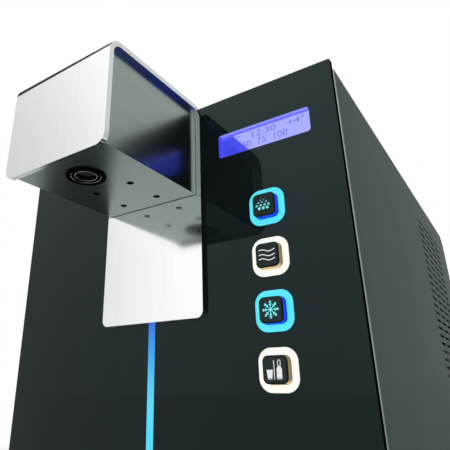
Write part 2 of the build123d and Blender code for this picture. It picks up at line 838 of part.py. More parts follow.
# ------------------------------------------------------------------ buttons
ring_back = y_glass_back + ring_flange_depth
cap_flange_front = ring_back + stop_gap
cap_flange_back = cap_flange_front + cap_flange_depth
stem_end = cap_flange_back + cap_stem
switch_tip_front = stem_end + button_travel + stop_gap
switch_front = switch_tip_front + switch_tip
board_front = switch_front + switch_height
for number, place in enumerate(button_places, start=1):
    with BuildPart() as button_ring:
        with BuildSketch(upright(y_glass_back)):
            with Locations(place):
                RectangleRounded(ring_size, ring_size, ring_corner)
        extrude(amount=glass_thickness + ring_rise)
        fillet(button_ring.faces().sort_by(Axis.Y)[0].edges(), ring_rise / 2)
        with BuildSketch(upright(ring_back)):
            with Locations(place):
                RectangleRounded(ring_flange, ring_flange, ring_corner)
        extrude(amount=ring_flange_depth)
        with BuildSketch(upright(ring_back)):
            with Locations(place):
                cap_hole = cap_size + 2 * cap_gap
                RectangleRounded(cap_hole, cap_hole, cap_corner + cap_gap)
        extrude(amount=ring_flange_depth + glass_thickness + ring_rise, mode=Mode.SUBTRACT)
    button_ring.part.label = f"button_ring_{number}"
    export_step(button_ring.part, f"parts/button_ring_{number}.step")

    with BuildPart() as button_cap:
        with BuildSketch(upright(cap_flange_front)):
            with Locations(place):
                RectangleRounded(cap_size, cap_size, cap_corner)
        extrude(amount=cap_flange_front - y_glass + cap_rise)
        chamfer(button_cap.faces().sort_by(Axis.Y)[0].edges(), cap_bevel)
        with BuildSketch(upright(cap_flange_back)):
            with Locations(place):
                RectangleRounded(cap_flange, cap_flange, cap_corner)
        extrude(amount=cap_flange_depth)
        with BuildSketch(upright(stem_end)):
            with Locations(place):
                Circle(cap_stem_radius)
        extrude(amount=cap_stem)
    button_cap.part.label = f"button_cap_{number}"
    export_step(button_cap.part, f"parts/button_cap_{number}.step")

button_middle = (button_x, (button_places[0][1] + button_places[-1][1]) / 2)
board_length = (button_count - 1) * button_pitch + ring_size + button_board_margin
with BuildPart() as button_board:
    with BuildSketch(upright(board_front + board_thickness)):
        with Locations(button_middle):
            Rectangle(button_board_width, board_length)
    extrude(amount=board_thickness)
    with BuildSketch(upright(board_front)):
        with Locations(*button_places):
            Rectangle(switch_size, switch_size)
    extrude(amount=switch_height)
    with BuildSketch(upright(switch_front)):
        with Locations(*button_places):
            Circle(switch_tip_radius)
    extrude(amount=switch_tip)
    with BuildSketch(upright(board_front)):
        with Locations(button_middle):
            post_across = button_board_width - 2 * post_radius
            with GridLocations(post_across, board_length - 2 * post_radius, 2, 2):
                Circle(post_radius)
    extrude(amount=board_front - y_carrier_back)
button_board.part.label = "button_board"
export_step(button_board.part, "parts/button_board.step")

control_bottom = z_pan + control_rise
control_top = button_middle[1] - board_length / 2 - control_headroom
control_height = control_top - control_bottom
control_middle = (control_x, (control_bottom + control_top) / 2)
control_front = y_carrier_back + control_post
with BuildPart() as control_board:
    with BuildSketch(upright(control_front + board_thickness)):
        with Locations(control_middle):
            Rectangle(control_width, control_height)
    extrude(amount=board_thickness)
    with BuildSketch(upright(control_front)):
        with Locations(control_middle):
            post_grid = (control_width - 3 * post_radius, control_height - 3 * post_radius)
            with GridLocations(*post_grid, 2, 2):
                Circle(post_radius)
    extrude(amount=control_post)
    with BuildSketch(upright(control_front + board_thickness)):
        with Locations(control_middle):
            with GridLocations(relay_size[0] * 1.4, 1, relay_count, 1):
                Rectangle(relay_size[0], relay_size[2])
    extrude(amount=-relay_size[1])
control_board.part.label = "control_board"
export_step(control_board.part, "parts/control_board.step")

# ------------------------------------------------------------------ drip tray and its shelf
shelf_top = z_base
shelf_front = y_front
shelf_rear = y_carrier_back + shelf_hold
shelf_depth = shelf_rear - shelf_front
tray_bottom = shelf_top + tray_gap
tray_top = tray_bottom + tray_height
tray_rear = y_glass - tray_glass_gap
tray_depth = tray_rear - y_front - tray_gap
tray_y = tray_rear - tray_depth / 2
pocket_width = tray_width - 2 * tray_wall
pocket_depth = tray_depth - 2 * tray_wall
with BuildPart() as tray_shelf:
    with BuildSketch(Plane.XY.offset(shelf_top - shelf_sheet)) as shelf_outline:
        with Locations((0, (shelf_front + shelf_rear) / 2)):
            Rectangle(shelf_width + 2 * shelf_sheet, shelf_depth)
        fillet(shelf_outline.vertices().group_by(Axis.Y)[0], tray_corner)
    extrude(amount=shelf_sheet)
    lip_front = shelf_front + 2 * tray_corner
    with BuildSketch(Plane.XY.offset(shelf_top)):
        for side in (-1, 1):
            with Locations((side * (shelf_width + shelf_sheet) / 2, (lip_front + tray_rear) / 2)):
                Rectangle(shelf_sheet, tray_rear - lip_front)
    extrude(amount=shelf_lip)
tray_shelf.part.label = "tray_shelf"
export_step(tray_shelf.part, "parts/tray_shelf.step")

with BuildPart() as drip_tray:
    with BuildSketch(Plane.XY.offset(tray_bottom)):
        with Locations((0, tray_y)):
            RectangleRounded(tray_width, tray_depth, tray_corner)
    extrude(amount=tray_height)
    fillet(drip_tray.edges().group_by(Axis.Z)[0], tray_wall)
    with BuildSketch(Plane.XY.offset(tray_bottom + tray_wall)):
        with Locations((0, tray_y)):
            inner_size = (pocket_width - 2 * tray_ledge, pocket_depth - 2 * tray_ledge)
            RectangleRounded(*inner_size, tray_corner - tray_wall - tray_ledge)
    extrude(amount=tray_height, mode=Mode.SUBTRACT)
    with BuildSketch(Plane.XY.offset(tray_top - tray_ledge_depth)):
        with Locations((0, tray_y)):
            RectangleRounded(pocket_width, pocket_depth, tray_corner - tray_wall)
    extrude(amount=tray_ledge_depth, mode=Mode.SUBTRACT)
drip_tray.part.label = "drip_tray"
export_step(drip_tray.part, "parts/drip_tray.step")

with BuildPart() as drip_grille:
    with BuildSketch(Plane.XY.offset(tray_top - tray_ledge_depth + tray_gap)):
        with Locations((0, tray_y)):
            grille_size = (pocket_width - 2 * grille_gap, pocket_depth - 2 * grille_gap)
            RectangleRounded(*grille_size, tray_corner - tray_wall - grille_gap)
            with GridLocations(grille_pitch_x, grille_pitch_y, grille_slots_x, grille_slots_y):
                SlotOverall(grille_slot_length, grille_slot_width, mode=Mode.SUBTRACT)
    extrude(amount=grille_thickness)
drip_grille.part.label = "drip_grille"
export_step(drip_grille.part, "parts/drip_grille.step")

# ------------------------------------------------------------------ cold tank
tank_front = y_glass + tank_setback
tank_y = tank_front + tank_depth / 2
tank_floor = z_pan + tank_wall
valve_height = valve_block_height + stop_gap + solenoid_height + core_tube_rise
lid_top = tube_level - valve_headroom - valve_height
tank_top = lid_top - lid_thickness
tank_height = tank_top - z_pan
vessel_y = y_glass + vessel_setback
vessel_bottom = tank_floor + vessel_stand
vessel_top = tank_top - vessel_headroom
vessel_height = vessel_top - vessel_bottom
agitator_y = vessel_y
gas_port = (vessel_x, vessel_y + gas_port_shift)
water_port = (vessel_x, vessel_y + water_port_shift)
outlet_port = (vessel_x + outlet_port_shift_x, vessel_y + outlet_port_shift_y)
suction_port = (vessel_x - coil_radius, vessel_y)
liquid_port = (vessel_x, vessel_y + coil_radius)
lid_ports = [gas_port, water_port, outlet_port, suction_port, liquid_port]
with BuildPart() as cold_tank:
    with BuildSketch(Plane.XY.offset(z_pan)):
        with Locations((tank_x, tank_y)):
            Rectangle(tank_width, tank_depth)
    extrude(amount=tank_height)
    with BuildSketch(Plane.XY.offset(tank_floor)):
        with Locations((tank_x, tank_y)):
            Rectangle(tank_width - 2 * tank_wall, tank_depth - 2 * tank_wall)
    extrude(amount=tank_height, mode=Mode.SUBTRACT)
cold_tank.part.label = "cold_tank"
export_step(cold_tank.part, "parts/cold_tank.step")

with BuildPart() as tank_lid:
    with BuildSketch(Plane.XY.offset(tank_top)):
        with Locations((tank_x, tank_y)):
            Rectangle(tank_width, tank_depth)
        with Locations(*lid_ports):
            Circle(port_radius + port_gap, mode=Mode.SUBTRACT)
        with Locations((agitator_x, agitator_y)):
            Circle(shaft_radius + 1, mode=Mode.SUBTRACT)
    extrude(amount=lid_thickness)
tank_lid.part.label = "tank_lid"
export_step(tank_lid.part, "parts/tank_lid.step")

with BuildPart() as carbonator:
    with BuildSketch(Plane.XY.offset(vessel_bottom)):
        with Locations((vessel_x, vessel_y)):
            Circle(vessel_radius)
    extrude(amount=vessel_height)
    fillet(carbonator.edges().filter_by(GeomType.CIRCLE), vessel_dome)
    with BuildSketch(Plane.XY.offset(tank_floor)):
        with Locations((vessel_x, vessel_y)):
            Circle(vessel_stand_radius)
    extrude(amount=vessel_stand + vessel_dome)
    with BuildSketch(Plane.XY.offset(vessel_top - vessel_dome)):
        with Locations(gas_port, water_port, outlet_port):
            Circle(port_radius)
    extrude(amount=lid_top + port_rise - vessel_top + vessel_dome)
    with BuildSketch(Plane.XY.offset(vessel_bottom + vessel_dome)):
        with Locations((vessel_x, vessel_y)):
            Circle(vessel_radius - vessel_wall)
    extrude(amount=vessel_height - 2 * vessel_dome, mode=Mode.SUBTRACT)
carbonator.part.label = "carbonator"
export_step(carbonator.part, "parts/carbonator.step")

coil_bottom = tank_floor + coil_rise
coil_pitch = (vessel_top - coil_headroom - coil_bottom) / (coil_turns - 1)
with BuildPart() as evaporator_coil:
    for turn in range(coil_turns):
        with Locations((vessel_x, vessel_y, coil_bottom + turn * coil_pitch)):
            Torus(coil_radius, coil_tube_radius)
    for (x, y), bottom in ((suction_port, coil_bottom), (liquid_port, coil_bottom)):
        with BuildSketch(Plane.XY.offset(bottom)):
            with Locations((x, y)):
                Circle(port_radius)
        extrude(amount=lid_top + port_rise - bottom)
    with BuildSketch(Plane.XY.offset(tank_floor)):
        with Locations(suction_port, liquid_port):
            Circle(port_radius)
    extrude(amount=coil_rise)
evaporator_coil.part.label = "evaporator_coil"
export_step(evaporator_coil.part, "parts/evaporator_coil.step")

# ------------------------------------------------------------------ agitator
shaft_bottom = lid_top - agitator_reach
with BuildPart() as agitator_motor:
    with BuildSketch(Plane.XY.offset(lid_top)):
        with Locations((agitator_x, agitator_y)):
            Circle(agitator_motor_radius)
    extrude(amount=agitator_motor_height)
    fillet(agitator_motor.edges().group_by(Axis.Z)[-1], 3.0)
    with BuildSketch(Plane.XY.offset(lid_top)):
        with Locations((agitator_x, agitator_y)):
            Circle(shaft_radius + shaft_fit)
    extrude(amount=shaft_well, mode=Mode.SUBTRACT)
agitator_motor.part.label = "agitator_motor"
export_step(agitator_motor.part, "parts/agitator_motor.step")

with BuildPart() as agitator_impeller:
    with BuildSketch(Plane.XY.offset(shaft_bottom)):
        with Locations((agitator_x, agitator_y)):
            Circle(shaft_radius)
    extrude(amount=agitator_reach + shaft_well - stop_gap)
    with BuildSketch(Plane.XY.offset(shaft_bottom)):
        with Locations((agitator_x, agitator_y)):
            Circle(impeller_hub_radius)
            with PolarLocations(0, impeller_blades):
                with Locations((impeller_radius / 2, 0)):
                    Rectangle(impeller_radius, impeller_blade)
    extrude(amount=impeller_height)
agitator_impeller.part.label = "agitator_impeller"
export_step(agitator_impeller.part, "parts/agitator_impeller.step")

# ------------------------------------------------------------------ valves
block_front = tank_front + valve_block_setback
block_y = block_front + valve_block_depth / 2
block_top = lid_top + valve_block_height
outlet_y = block_front + outlet_setback
solenoid_y = block_front + solenoid_setback
solenoid_places = [(step * coil_pitch_x, solenoid_y) for step in (-1, 0, 1)]
solenoid_bottom = block_top + stop_gap
solenoid_top = solenoid_bottom + solenoid_height
with BuildPart() as valve_block:
    with BuildSketch(Plane.XY.offset(lid_top)):
        with Locations((0, block_y)):
            Rectangle(valve_block_width, valve_block_depth)
    extrude(amount=valve_block_height)
    with BuildSketch(Plane.XY.offset(block_top)):
        with Locations(*[(step * tube_pitch, outlet_y) for step in (-1, 0, 1)]):
            Circle(tube_radius)
    extrude(amount=barb_height)
    with BuildSketch(Plane.XY.offset(block_top)):
        with Locations(*solenoid_places):
            Circle(core_tube_radius)
    extrude(amount=solenoid_top - block_top + core_tube_rise)
valve_block.part.label = "valve_block"
export_step(valve_block.part, "parts/valve_block.step")

with BuildPart() as valve_coils:
    with BuildSketch(Plane.XY.offset(solenoid_bottom)):
        for place in solenoid_places:
            with Locations(place):
                Circle(solenoid_radius)
                Circle(core_tube_radius + fit_gap, mode=Mode.SUBTRACT)
    extrude(amount=solenoid_height)
valve_coils.part.label = "valve_coils"
export_step(valve_coils.part, "parts/valve_coils.step")

# ------------------------------------------------------------------ pump
pump_z = z_pan + pump_lift + pump_motor_radius
pump_rear = y_glass + pump_rear_setback
head_front = pump_rear - pump_head_length
motor_front = head_front - pump_motor_length
pump_outlet_y = (pump_rear + head_front) / 2
with BuildPart() as pump:
    with BuildSketch(upright(pump_rear)):
        with Locations((pump_x, pump_z)):
            Circle(pump_head_radius)
    extrude(amount=pump_head_length)
    with BuildSketch(upright(head_front)):
        with Locations((pump_x, pump_z)):
            Circle(pump_motor_radius)
    extrude(amount=pump_motor_length)
    fillet(pump.edges().filter_by(GeomType.CIRCLE).group_by(Axis.Y)[0], 3.0)
    with BuildSketch(Plane.XY.offset(pump_z)):
        with Locations((pump_x, pump_outlet_y)):
            Circle(port_radius)
    extrude(amount=pump_head_radius + barb_height)
    for y in (motor_front + cradle_width, head_front - cradle_width):
        with BuildSketch(Plane.XY.offset(z_pan)):
            with Locations((pump_x, y)):
                Rectangle(cradle_width, cradle_thickness)
        extrude(amount=pump_lift + pump_motor_radius)
pump.part.label = "pump"
export_step(pump.part, "parts/pump.step")

# ------------------------------------------------------------------ compressor
plate_bottom = z_pan + grommet_height
plate_top = plate_bottom + compressor_plate
compressor_bottom = plate_top
compressor_top = compressor_bottom + compressor_height
suction_stub = (compressor_x + suction_shift, compressor_y)
discharge_stub = (compressor_x + discharge_shift, compressor_y)
grommet_grid = (compressor_plate_width - 2 * grommet_inset, compressor_plate_depth - 2 * grommet_inset)
with BuildPart() as compressor:
    with BuildSketch(Plane.XY.offset(compressor_bottom)):
        with Locations((compressor_x, compressor_y)):
            Circle(compressor_radius)
    extrude(amount=compressor_height)
    fillet(compressor.edges().filter_by(GeomType.CIRCLE).group_by(Axis.Z)[-1], compressor_dome)
    fillet(compressor.edges().filter_by(GeomType.CIRCLE).group_by(Axis.Z)[0], compressor_foot)
    with BuildSketch(Plane.XY.offset(plate_bottom)):
        with Locations((compressor_x, compressor_y)):
            RectangleRounded(compressor_plate_width, compressor_plate_depth, grommet_radius)
            with GridLocations(*grommet_grid, 2, 2):
                Circle(stud_radius + stud_clearance, mode=Mode.SUBTRACT)
    extrude(amount=compressor_plate)
    with BuildSketch(Plane.XY.offset(compressor_top - compressor_dome)):
        with Locations(suction_stub, discharge_stub):
            Circle(stub_radius)
    extrude(amount=compressor_dome + stub_rise)
    with BuildSketch(Plane.XY.offset(compressor_bottom + (compressor_height - compressor_void) / 2)):
        with Locations((compressor_x, compressor_y)):
            Circle(compressor_void_radius)
    extrude(amount=compressor_void, mode=Mode.SUBTRACT)
compressor.part.label = "compressor"
export_step(compressor.part, "parts/compressor.step")

with BuildPart() as compressor_grommets:
    with BuildSketch(Plane.XY.offset(z_pan)):
        with Locations((compressor_x, compressor_y)):
            with GridLocations(*grommet_grid, 2, 2):
                Circle(grommet_radius)
    extrude(amount=grommet_height)
    with BuildSketch(Plane.XY.offset(plate_bottom)):
        with Locations((compressor_x, compressor_y)):
            with GridLocations(*grommet_grid, 2, 2):
                Circle(stud_radius)
    extrude(amount=grommet_height / 2)
compressor_grommets.part.label = "compressor_grommets"
export_step(compressor_grommets.part, "parts/compressor_grommets.step")

# ------------------------------------------------------------------ condenser
condenser_x = condenser_left + condenser_thickness / 2
condenser_bottom = z_pan
condenser_top = condenser_bottom + condenser_height
fin_pitch = condenser_depth / fin_count
discharge_header = (condenser_x, condenser_y)
liquid_header = (condenser_x, condenser_y + second_header_shift)
with BuildPart() as condenser:
    with BuildSketch(Plane.XY.offset(condenser_bottom)):
        with Locations((condenser_x, condenser_y)):
            with GridLocations(1, fin_pitch, 1, fin_count):
                Rectangle(condenser_thickness, fin_thickness)
    extrude(amount=condenser_height)
    with BuildSketch(upright(condenser_y + condenser_depth / 2)):
        with Locations((condenser_x, (condenser_bottom + condenser_top) / 2)):
            with GridLocations(1, condenser_height / condenser_rows, 1, condenser_rows):
                Circle(condenser_tube_radius)
    extrude(amount=condenser_depth)
    for height in (condenser_bottom, condenser_top - condenser_frame):
        with BuildSketch(Plane.XY.offset(height)):
            with Locations((condenser_x, condenser_y)):
                Rectangle(condenser_thickness, condenser_depth)
        extrude(amount=condenser_frame)
    with BuildSketch(Plane.XY.offset(condenser_top)):
        with Locations(discharge_header, liquid_header):
            Circle(condenser_tube_radius)
    extrude(amount=header_rise)
condenser.part.label = "condenser"
export_step(condenser.part, "parts/condenser.step")

# ------------------------------------------------------------------ fan
fan_z = z_pan + fan_rise
fan_place = (condenser_y, fan_z)
collar_left = spider_left + spider_depth
fan_shaft = shaft_radius
with BuildPart() as fan_shroud:
    with BuildSketch(Plane.YZ.offset(condenser_left - shroud_plate)):
        with Locations((condenser_y, (condenser_bottom + condenser_top) / 2)):
            Rectangle(condenser_depth, condenser_height)
        with Locations(fan_place):
            Circle(collar_radius - collar_wall, mode=Mode.SUBTRACT)
    extrude(amount=shroud_plate)
    with BuildSketch(Plane.YZ.offset(spider_left)):
        with Locations(fan_place):
            Circle(collar_radius)
            Circle(collar_radius - collar_wall, mode=Mode.SUBTRACT)
    extrude(amount=spider_depth + collar_depth)
    with BuildSketch(Plane.YZ.offset(spider_left)):
        with Locations(fan_place):
            Circle(fan_motor_radius)
            Rectangle(2 * collar_radius - collar_wall, spider_width)
            Rectangle(spider_width, 2 * collar_radius - collar_wall)
            Circle(fan_shaft + 1, mode=Mode.SUBTRACT)
    extrude(amount=spider_depth)
fan_shroud.part.label = "fan_shroud"
export_step(fan_shroud.part, "parts/fan_shroud.step")

with BuildPart() as fan_motor:
    with BuildSketch(Plane.YZ.offset(spider_left - fan_motor_length)):
        with Locations(fan_place):
            Circle(fan_motor_radius)
    extrude(amount=fan_motor_length)
    fillet(fan_motor.edges().group_by(Axis.X)[0], 3.0)
    with BuildSketch(Plane.YZ.offset(spider_left)):
        with Locations(fan_place):
            Circle(fan_shaft + shaft_fit)
    extrude(amount=-shaft_well, mode=Mode.SUBTRACT)
fan_motor.part.label = "fan_motor"
export_step(fan_motor.part, "parts/fan_motor.step")

blade_left = collar_left + (collar_depth - blade_depth) / 2
blade_reach = collar_radius - collar_wall - blade_tip_gap
blade_middle = blade_left + blade_depth / 2
fan_centre = (blade_middle, condenser_y, fan_z)
with BuildPart() as fan_blades:
    with BuildSketch(Plane.YZ.offset(blade_left)):
        with Locations(fan_place):
            Circle(blade_hub_radius)
    extrude(amount=blade_depth)
    with BuildSketch(Plane.YZ.offset(spider_left - shaft_well + stop_gap)):
        with Locations(fan_place):
            Circle(fan_shaft)
    extrude(amount=blade_left - spider_left + shaft_well)
    for blade in range(blade_count):
        outward = Vector(0, 1, 0).rotate(Axis.X, blade * 360 / blade_count)
        spoke = Plane(origin=fan_centre, x_dir=(1, 0, 0), z_dir=outward)
        with BuildSketch(spoke.offset(blade_hub_radius / 2)):
            Rectangle(blade_depth, blade_thickness, rotation=blade_angle)
        extrude(amount=blade_reach - blade_hub_radius / 2)
fan_blades.part.label = "fan_blades"
export_step(fan_blades.part, "parts/fan_blades.step")

# ------------------------------------------------------------------ refrigerant lines
liquid_line_x = compressor_x + compressor_plate_width / 2 + liquid_line_gap
line_z = lid_top + liquid_line_rise
drier_front = condenser_y - drier_length
stub_top = compressor_top + stub_rise
header_top = condenser_top + header_rise
discharge_line_z = condenser_top + discharge_line_rise
suction_line_z = lid_top + suction_line_rise
port_top = lid_top + port_rise
suction_route = [
    (*suction_port, port_top),
    (*suction_port, suction_line_z),
    (*suction_stub, suction_line_z),
    (*suction_stub, stub_top),
]
discharge_route = [
    (*discharge_stub, stub_top),
    (*discharge_stub, discharge_line_z),
    (*discharge_header, discharge_line_z),
    (*discharge_header, header_top),
]
liquid_rear_route = [
    (*liquid_header, header_top),
    (*liquid_header, line_z),
    (liquid_line_x, liquid_header[1], line_z),
    (liquid_line_x, drier_front + drier_length, line_z),
]
liquid_front_route = [
    (liquid_line_x, drier_front, line_z),
    (liquid_line_x, liquid_port[1], line_z),
    (*liquid_port, line_z),
    (*liquid_port, port_top),
]


def pipe_line(route, radius, bend):
    """Hollow pipe along a rounded route, as a solid of its own."""
    path = FilletPolyline(*route, radius=bend)
    with BuildPart() as pipe:
        with BuildSketch(Plane(origin=path @ 0, z_dir=path % 0)):
            Circle(radius)
            Circle(radius - tube_wall, mode=Mode.SUBTRACT)
        sweep(path=path)
    return pipe.part


def pipe_group(routes):
    """Several separate pipes as one piece."""
    return Compound(children=[pipe_line(*route) for route in routes])


refrigerant_tubes = pipe_group(
    [
        (suction_route, tube_radius, small_bend),
        (discharge_route, tube_radius, small_bend),
        (liquid_rear_route, tube_radius, small_bend),
        (liquid_front_route, tube_radius, small_bend),
    ]
)
refrigerant_tubes.label = "refrigerant_tubes"
export_step(refrigerant_tubes, "parts/refrigerant_tubes.step")

with BuildPart() as filter_drier:
    with BuildSketch(upright(drier_front + drier_length)):
        with Locations((liquid_line_x, line_z)):
            Circle(drier_radius)
    extrude(amount=drier_length)
    chamfer(filter_drier.edges().filter_by(GeomType.CIRCLE), drier_taper)
filter_drier.part.label = "filter_drier"
export_step(filter_drier.part, "parts/filter_drier.step")

# ------------------------------------------------------------------ water and gas lines
inlet_end = y_rear_inner - fitting_inner
pump_level = pump_z
crossing_y = pump_rear + tube_bend + barb_height
pump_outlet_z = pump_z + pump_head_radius + barb_height
gas_line_y = y_rear_inner - fitting_inner - 2 * tube_bend
gas_line_z = discharge_line_z + 2 * fitting_hex
feed_line_z = lid_top + fitting_hex + barb_height
cross_line_z = lid_top + liquid_line_rise
block_side = valve_block_width / 2
outlet_level = block_top + barb_height
inlet_route = [
    (water_inlet_x, inlet_end, inlet_z),
    (water_inlet_x, crossing_y, inlet_z),
    (pump_x, crossing_y, pump_level),
    (pump_x, pump_rear, pump_level),
]
feed_route = [
    (pump_x, pump_outlet_y, pump_outlet_z),
    (pump_x, pump_outlet_y, feed_line_z),
    (water_port[0], pump_outlet_y, feed_line_z),
    (*water_port, feed_line_z),
    (*water_port, port_top),
]
gas_route = [
    (vessel_x, inlet_end, inlet_z),
    (vessel_x, gas_line_y, inlet_z),
    (vessel_x, gas_line_y, gas_line_z),
    (*gas_port, gas_line_z),
    (*gas_port, port_top),
]
carbonated_route = [
    (*outlet_port, port_top),
    (*outlet_port, cross_line_z),
    (outlet_port[0], block_y, cross_line_z),
    (-block_side, block_y, cross_line_z),
]
dispense_routes = [
    [
        (x, nozzle_y, core_top + barb_height),
        (x, nozzle_y, tube_level),
        (x, outlet_y, tube_level),
        (x, outlet_y, outlet_level),
    ]
    for x, y in outlet_places
]
water_tubes = pipe_group(
    [(route, tube_radius, tube_bend) for route in (inlet_route, feed_route, gas_route)]
    + [(carbonated_route, tube_radius, small_bend)]
    + [(route, tube_radius, tube_bend) for route in dispense_routes]
)
water_tubes.label = "water_tubes"
export_step(water_tubes, "parts/water_tubes.step")

# ------------------------------------------------------------------ rear fittings
for name, x, thread_radius in (
    ("water_inlet", water_inlet_x, water_thread_radius),
    ("gas_inlet", vessel_x, gas_thread_radius),
):
    with BuildPart() as inlet:
        with BuildSketch(upright(y_rear)):
            with Locations((x, inlet_z)):
                RegularPolygon(fitting_hex / 2, 6, major_radius=False)
        extrude(amount=-fitting_hex_height)
        with BuildSketch(upright(y_rear_inner)):
            with Locations((x, inlet_z)):
                RegularPolygon(fitting_hex / 2, 6, major_radius=False)
        extrude(amount=fitting_hex_height)
        with BuildSketch(upright(y_rear + fitting_reach)):
            with Locations((x, inlet_z)):
                Circle(thread_radius)
        extrude(amount=fitting_reach + sheet + fitting_hex_height)
        with BuildSketch(upright(y_rear_inner)):
            with Locations((x, inlet_z)):
                Circle(tube_radius + tube_wall)
        extrude(amount=fitting_inner)
        with BuildSketch(upright(y_rear + fitting_reach)):
            with Locations((x, inlet_z)):
                Circle(port_bore)
        extrude(amount=fitting_reach + sheet + fitting_inner, mode=Mode.SUBTRACT)
    inlet.part.label = name
    export_step(inlet.part, f"parts/{name}.step")

# ------------------------------------------------------------------ power socket and switch
with BuildPart() as power_inlet:
    with BuildSketch(upright(y_rear + socket_flange)):
        with Locations((socket_x, socket_z)):
            RectangleRounded(socket_flange_width, socket_flange_height, cavity_corner)
    extrude(amount=socket_flange)
    with BuildSketch(upright(y_rear)):
        with Locations((socket_x, socket_z)):
            Rectangle(socket_width, socket_height)
    extrude(amount=socket_depth)
    with BuildSketch(upright(y_rear + socket_flange)):
        with Locations((socket_x, socket_z)):
            RectangleRounded(cavity_width, cavity_height, cavity_corner)
    extrude(amount=cavity_depth, mode=Mode.SUBTRACT)
    with BuildSketch(upright(y_rear + socket_flange - cavity_depth)):
        for step, lift in ((-1, -1), (0, 1), (1, -1)):
            with Locations((socket_x + step * blade_pin_pitch, socket_z + lift * blade_pin_width)):
                Rectangle(blade_pin_width, blade_pin_height)
    extrude(amount=-blade_pin_length)
power_inlet.part.label = "power_inlet"
export_step(power_inlet.part, "parts/power_inlet.step")

AHEAD = (Align.MIN, Align.CENTER)
rocker_y = y_rear + socket_flange - rocker_pivot_depth
rocker_place = (rocker_y, switch_z)
with BuildPart() as power_switch:
    with BuildSketch(upright(y_rear + socket_flange)):
        with Locations((socket_x, switch_z)):
            switch_flange = (switch_body_width + 4, switch_body_height + 4)
            RectangleRounded(*switch_flange, cavity_corner)
    extrude(amount=socket_flange)
    with BuildSketch(upright(y_rear)):
        with Locations((socket_x, switch_z)):
            Rectangle(switch_body_width, switch_body_height)
    extrude(amount=switch_body_depth)
    with BuildSketch(Plane.YZ.offset(socket_x - rocker_width / 2 - rocker_gap)):
        with Locations(rocker_place):
            Circle(rocker_radius + rocker_gap)
    extrude(amount=rocker_width + 2 * rocker_gap, mode=Mode.SUBTRACT)
    with BuildSketch(Plane.YZ.offset(socket_x - rocker_width / 2 - trunnion_length)):
        with Locations(rocker_place):
            Circle(trunnion_radius + trunnion_fit)
    extrude(amount=rocker_width + 2 * trunnion_length, mode=Mode.SUBTRACT)
power_switch.part.label = "power_switch"
export_step(power_switch.part, "parts/power_switch.step")

with BuildPart() as power_rocker:
    with BuildSketch(Plane.YZ.offset(socket_x - rocker_width / 2)):
        with Locations(rocker_place):
            Circle(rocker_radius)
        for side in (-1, 1):
            with Locations(Location((rocker_y + rocker_face, switch_z), side * rocker_tilt)):
                Rectangle(2 * rocker_radius, 4 * rocker_radius, align=AHEAD, mode=Mode.SUBTRACT)
    extrude(amount=rocker_width)
    with BuildSketch(Plane.YZ.offset(socket_x - rocker_width / 2 - trunnion_length + stop_gap)):
        with Locations(rocker_place):
            Circle(trunnion_radius)
    extrude(amount=rocker_width + 2 * (trunnion_length - stop_gap))
power_rocker.part.label = "power_rocker"
export_step(power_rocker.part, "parts/power_rocker.step")
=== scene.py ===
"""Countertop drinks dispenser: finishes, small details and studio, in metres."""

import json
import math

import bmesh
import bpy
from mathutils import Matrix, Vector


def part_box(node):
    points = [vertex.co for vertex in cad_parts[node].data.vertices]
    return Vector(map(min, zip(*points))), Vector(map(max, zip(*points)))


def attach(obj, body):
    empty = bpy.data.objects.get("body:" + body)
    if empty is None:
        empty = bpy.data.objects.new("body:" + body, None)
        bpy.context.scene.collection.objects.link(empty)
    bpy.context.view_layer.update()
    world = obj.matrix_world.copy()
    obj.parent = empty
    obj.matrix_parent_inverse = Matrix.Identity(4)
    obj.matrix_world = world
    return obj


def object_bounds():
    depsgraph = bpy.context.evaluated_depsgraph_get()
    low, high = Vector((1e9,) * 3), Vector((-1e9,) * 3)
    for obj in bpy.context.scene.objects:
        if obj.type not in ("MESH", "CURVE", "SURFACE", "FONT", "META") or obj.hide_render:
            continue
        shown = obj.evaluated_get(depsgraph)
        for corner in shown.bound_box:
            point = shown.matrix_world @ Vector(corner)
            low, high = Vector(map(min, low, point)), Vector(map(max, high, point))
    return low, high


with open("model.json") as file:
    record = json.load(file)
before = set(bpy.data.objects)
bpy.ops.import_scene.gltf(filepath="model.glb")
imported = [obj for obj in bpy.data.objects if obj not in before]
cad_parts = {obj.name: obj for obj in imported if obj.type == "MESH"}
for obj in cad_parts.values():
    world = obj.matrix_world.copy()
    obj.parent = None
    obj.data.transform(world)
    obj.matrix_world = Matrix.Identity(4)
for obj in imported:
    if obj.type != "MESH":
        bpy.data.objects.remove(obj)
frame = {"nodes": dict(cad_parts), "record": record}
cad_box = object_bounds()

# ------------------------------------------------------------------ places and sizes
MM = 0.001
ALONG_Z = (1, 0.012, 0.012)  # noise drawn out into upright lines
ALONG_Y = (1, 0.02, 1)  # noise drawn out from front to back
ALONG_X = (0.02, 1, 1)  # noise drawn out from side to side

PRINT_THICKNESS = 0.04 * MM
PRINT_RAISE = 0.01 * MM

DISPLAY_OPENING = (77.7 * MM, 20.6 * MM)
DISPLAY_CORNER = 2.5 * MM
DIGIT_HEIGHT = 5.8 * MM
DIGIT_LINE_GAP = 1.6 * MM
DIGIT_BOTTOM_MARGIN = 4.2 * MM
DIGIT_SIDE_MARGIN = 4.0 * MM
DIGIT_ROW_1 = ("+6°   12:30   +4°", 0.0, 69.0 * MM)  # characters, indent and width
DIGIT_ROW_2 = ("25  50  75  100", 2.5 * MM, 52.0 * MM)
WALL_LINER = 0.06 * MM

